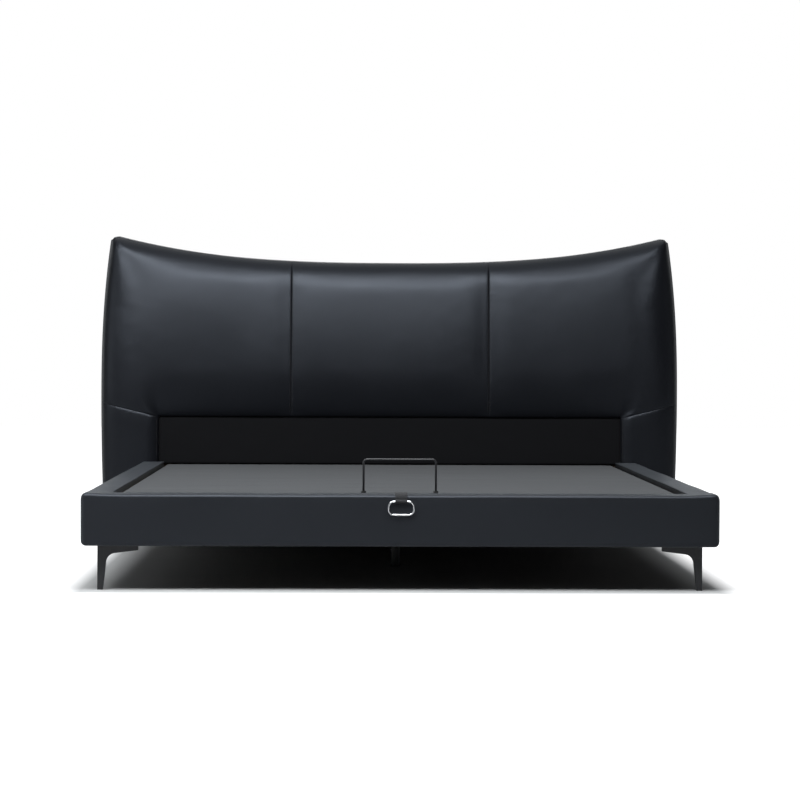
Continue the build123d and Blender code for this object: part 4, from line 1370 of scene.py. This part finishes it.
@dataclass
class Studio:
    """Pale floor, soft lights and the camera at the foot of the bed."""

    camera_distance: float = 7.047
    camera_side: float = -0.157
    camera_height: float = 0.751
    yaw: float = 1.233
    pitch: float = -1.233
    tilt: float = 0.248
    lens: float = 101.8
    ceiling_power: float = 0.95
    ceiling_angle: float = 84.0
    ceiling_aim: tuple[float, float, float] = (0.05, -0.22, -1.0)
    light_colour: tuple[float, float, float] = (0.95, 0.98, 1.0)
    room_glow: float = 0.03
    floor_size: float = 14.0
    fade_width: float = 0.10

    def camera(self) -> None:
        """Places the camera and makes it the scene's camera."""
        yaw, pitch, tilt = (math.radians(a) for a in (self.yaw, self.pitch, self.tilt))
        forward = Vector((math.sin(yaw) * math.cos(pitch), math.cos(yaw) * math.cos(pitch),
                          math.sin(pitch)))
        right = Vector((math.cos(yaw), -math.sin(yaw), 0.0))
        up = right.cross(forward)
        level, rise = math.cos(tilt), math.sin(tilt)
        turned_right = right * level + up * rise
        turned_up = up * level - right * rise
        data = bpy.data.cameras.new("camera")
        data.lens = self.lens
        data.clip_end = 100.0
        holder = place_object("camera", data)
        rotation = Matrix((turned_right, turned_up, -forward)).transposed().to_4x4()
        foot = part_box("foot_rail_pad")[0][1]
        place = (self.camera_side, foot - self.camera_distance, self.camera_height)
        holder.matrix_world = Matrix.Translation(place) @ rotation
        bpy.context.scene.camera = holder

    def floor(self) -> None:
        """Lays a wide floor: pale paint near the bed, fading to plain white away from it.

        Formula: the distance outside the bed's outline, over a set width, is how white it looks.
        """
        mesh = bpy.data.meshes.new("floor")
        size = self.floor_size
        edge = [(-size, -size, 0), (size, -size, 0), (size, size, 0), (-size, size, 0)]
        mesh.from_pydata(edge, [], [(0, 1, 2, 3)])
        plane = place_object("floor", mesh)
        surface = Surface("floor_paint", {
            "Roughness": 0.9, "Specular IOR Level": 0.1, "Emission Color": (1.0, 1.0, 1.0, 1.0)})
        marks = group_node(surface, "handling_marks", {"Size": 2.0})
        paint = surface.mix(marks.outputs["Smear"], (0.40,) * 3, (0.42,) * 3)
        axes = surface.add("ShaderNodeSeparateXYZ", {0: surface.place()}).outputs
        rails = [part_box(f"{side}_rail_pad") for side, _ in SIDES]
        spans = ((rails[0][0][0], rails[1][1][0]), (CAD_BOX[0][1], CAD_BOX[1][1]))
        squares = []
        for axis, (low, high) in zip(axes, spans):
            off = surface.math("ABSOLUTE", surface.math("SUBTRACT", axis, (low + high) / 2.0))
            away = surface.math("SUBTRACT", off, (high - low) / 2.0)
            squares.append(surface.math("POWER", surface.math("MAXIMUM", away, 0.0), 2.0))
        away = surface.math("SQRT", surface.math("ADD", *squares))
        white = surface.spread(away, 0.0, self.fade_width)
        seen = surface.add("ShaderNodeLightPath").outputs["Is Camera Ray"]
        glow = surface.math("MULTIPLY", white, seen)
        surface.feed(surface.shader, {"Base Color": paint, "Emission Strength": glow})
        mesh.materials.append(surface.material)

    def ceiling(self) -> None:
        """A bright soft ceiling: even light from a wide cone of directions overhead."""
        data = bpy.data.lights.new("ceiling", "SUN")
        data.energy = self.ceiling_power
        data.angle = math.radians(self.ceiling_angle)
        data.color = self.light_colour
        lamp = place_object("ceiling", data)
        lamp.rotation_euler = Vector(self.ceiling_aim).to_track_quat("-Z", "Y").to_euler()

    def world(self) -> None:
        """White surroundings for the eye, dimmer for what they light."""
        world = bpy.data.worlds.new("surroundings")
        world.use_nodes = True
        graph = Graph(world.node_tree)
        seen = graph.add("ShaderNodeLightPath").outputs["Is Camera Ray"]
        strength = graph.spread(seen, 0.0, 1.0, self.room_glow, 1.0)
        background = graph.add("ShaderNodeBackground", {
            "Color": (1.0, 1.0, 1.0, 1.0), "Strength": strength})
        graph.add("ShaderNodeOutputWorld", {"Surface": background.outputs[0]})
        bpy.context.scene.world = world

    def build(self) -> None:
        """Sets up camera, floor, lights and surroundings."""
        bpy.context.scene.view_settings.view_transform = "Standard"
        self.camera()
        self.floor()
        self.world()
        self.ceiling()
        for light in SOFT_LIGHTS:
            light.hang(self.light_colour)


def main() -> None:
    """Builds every sub-assembly in order."""
    logging.basicConfig(level=logging.INFO, format="%(message)s")
    for part in (Studio(), Carcass(), Headboard(), Rails(), Platform()):
        part.build()
        LOG.info("built %s", type(part).__name__)


if __name__ == "__main__":
    main()
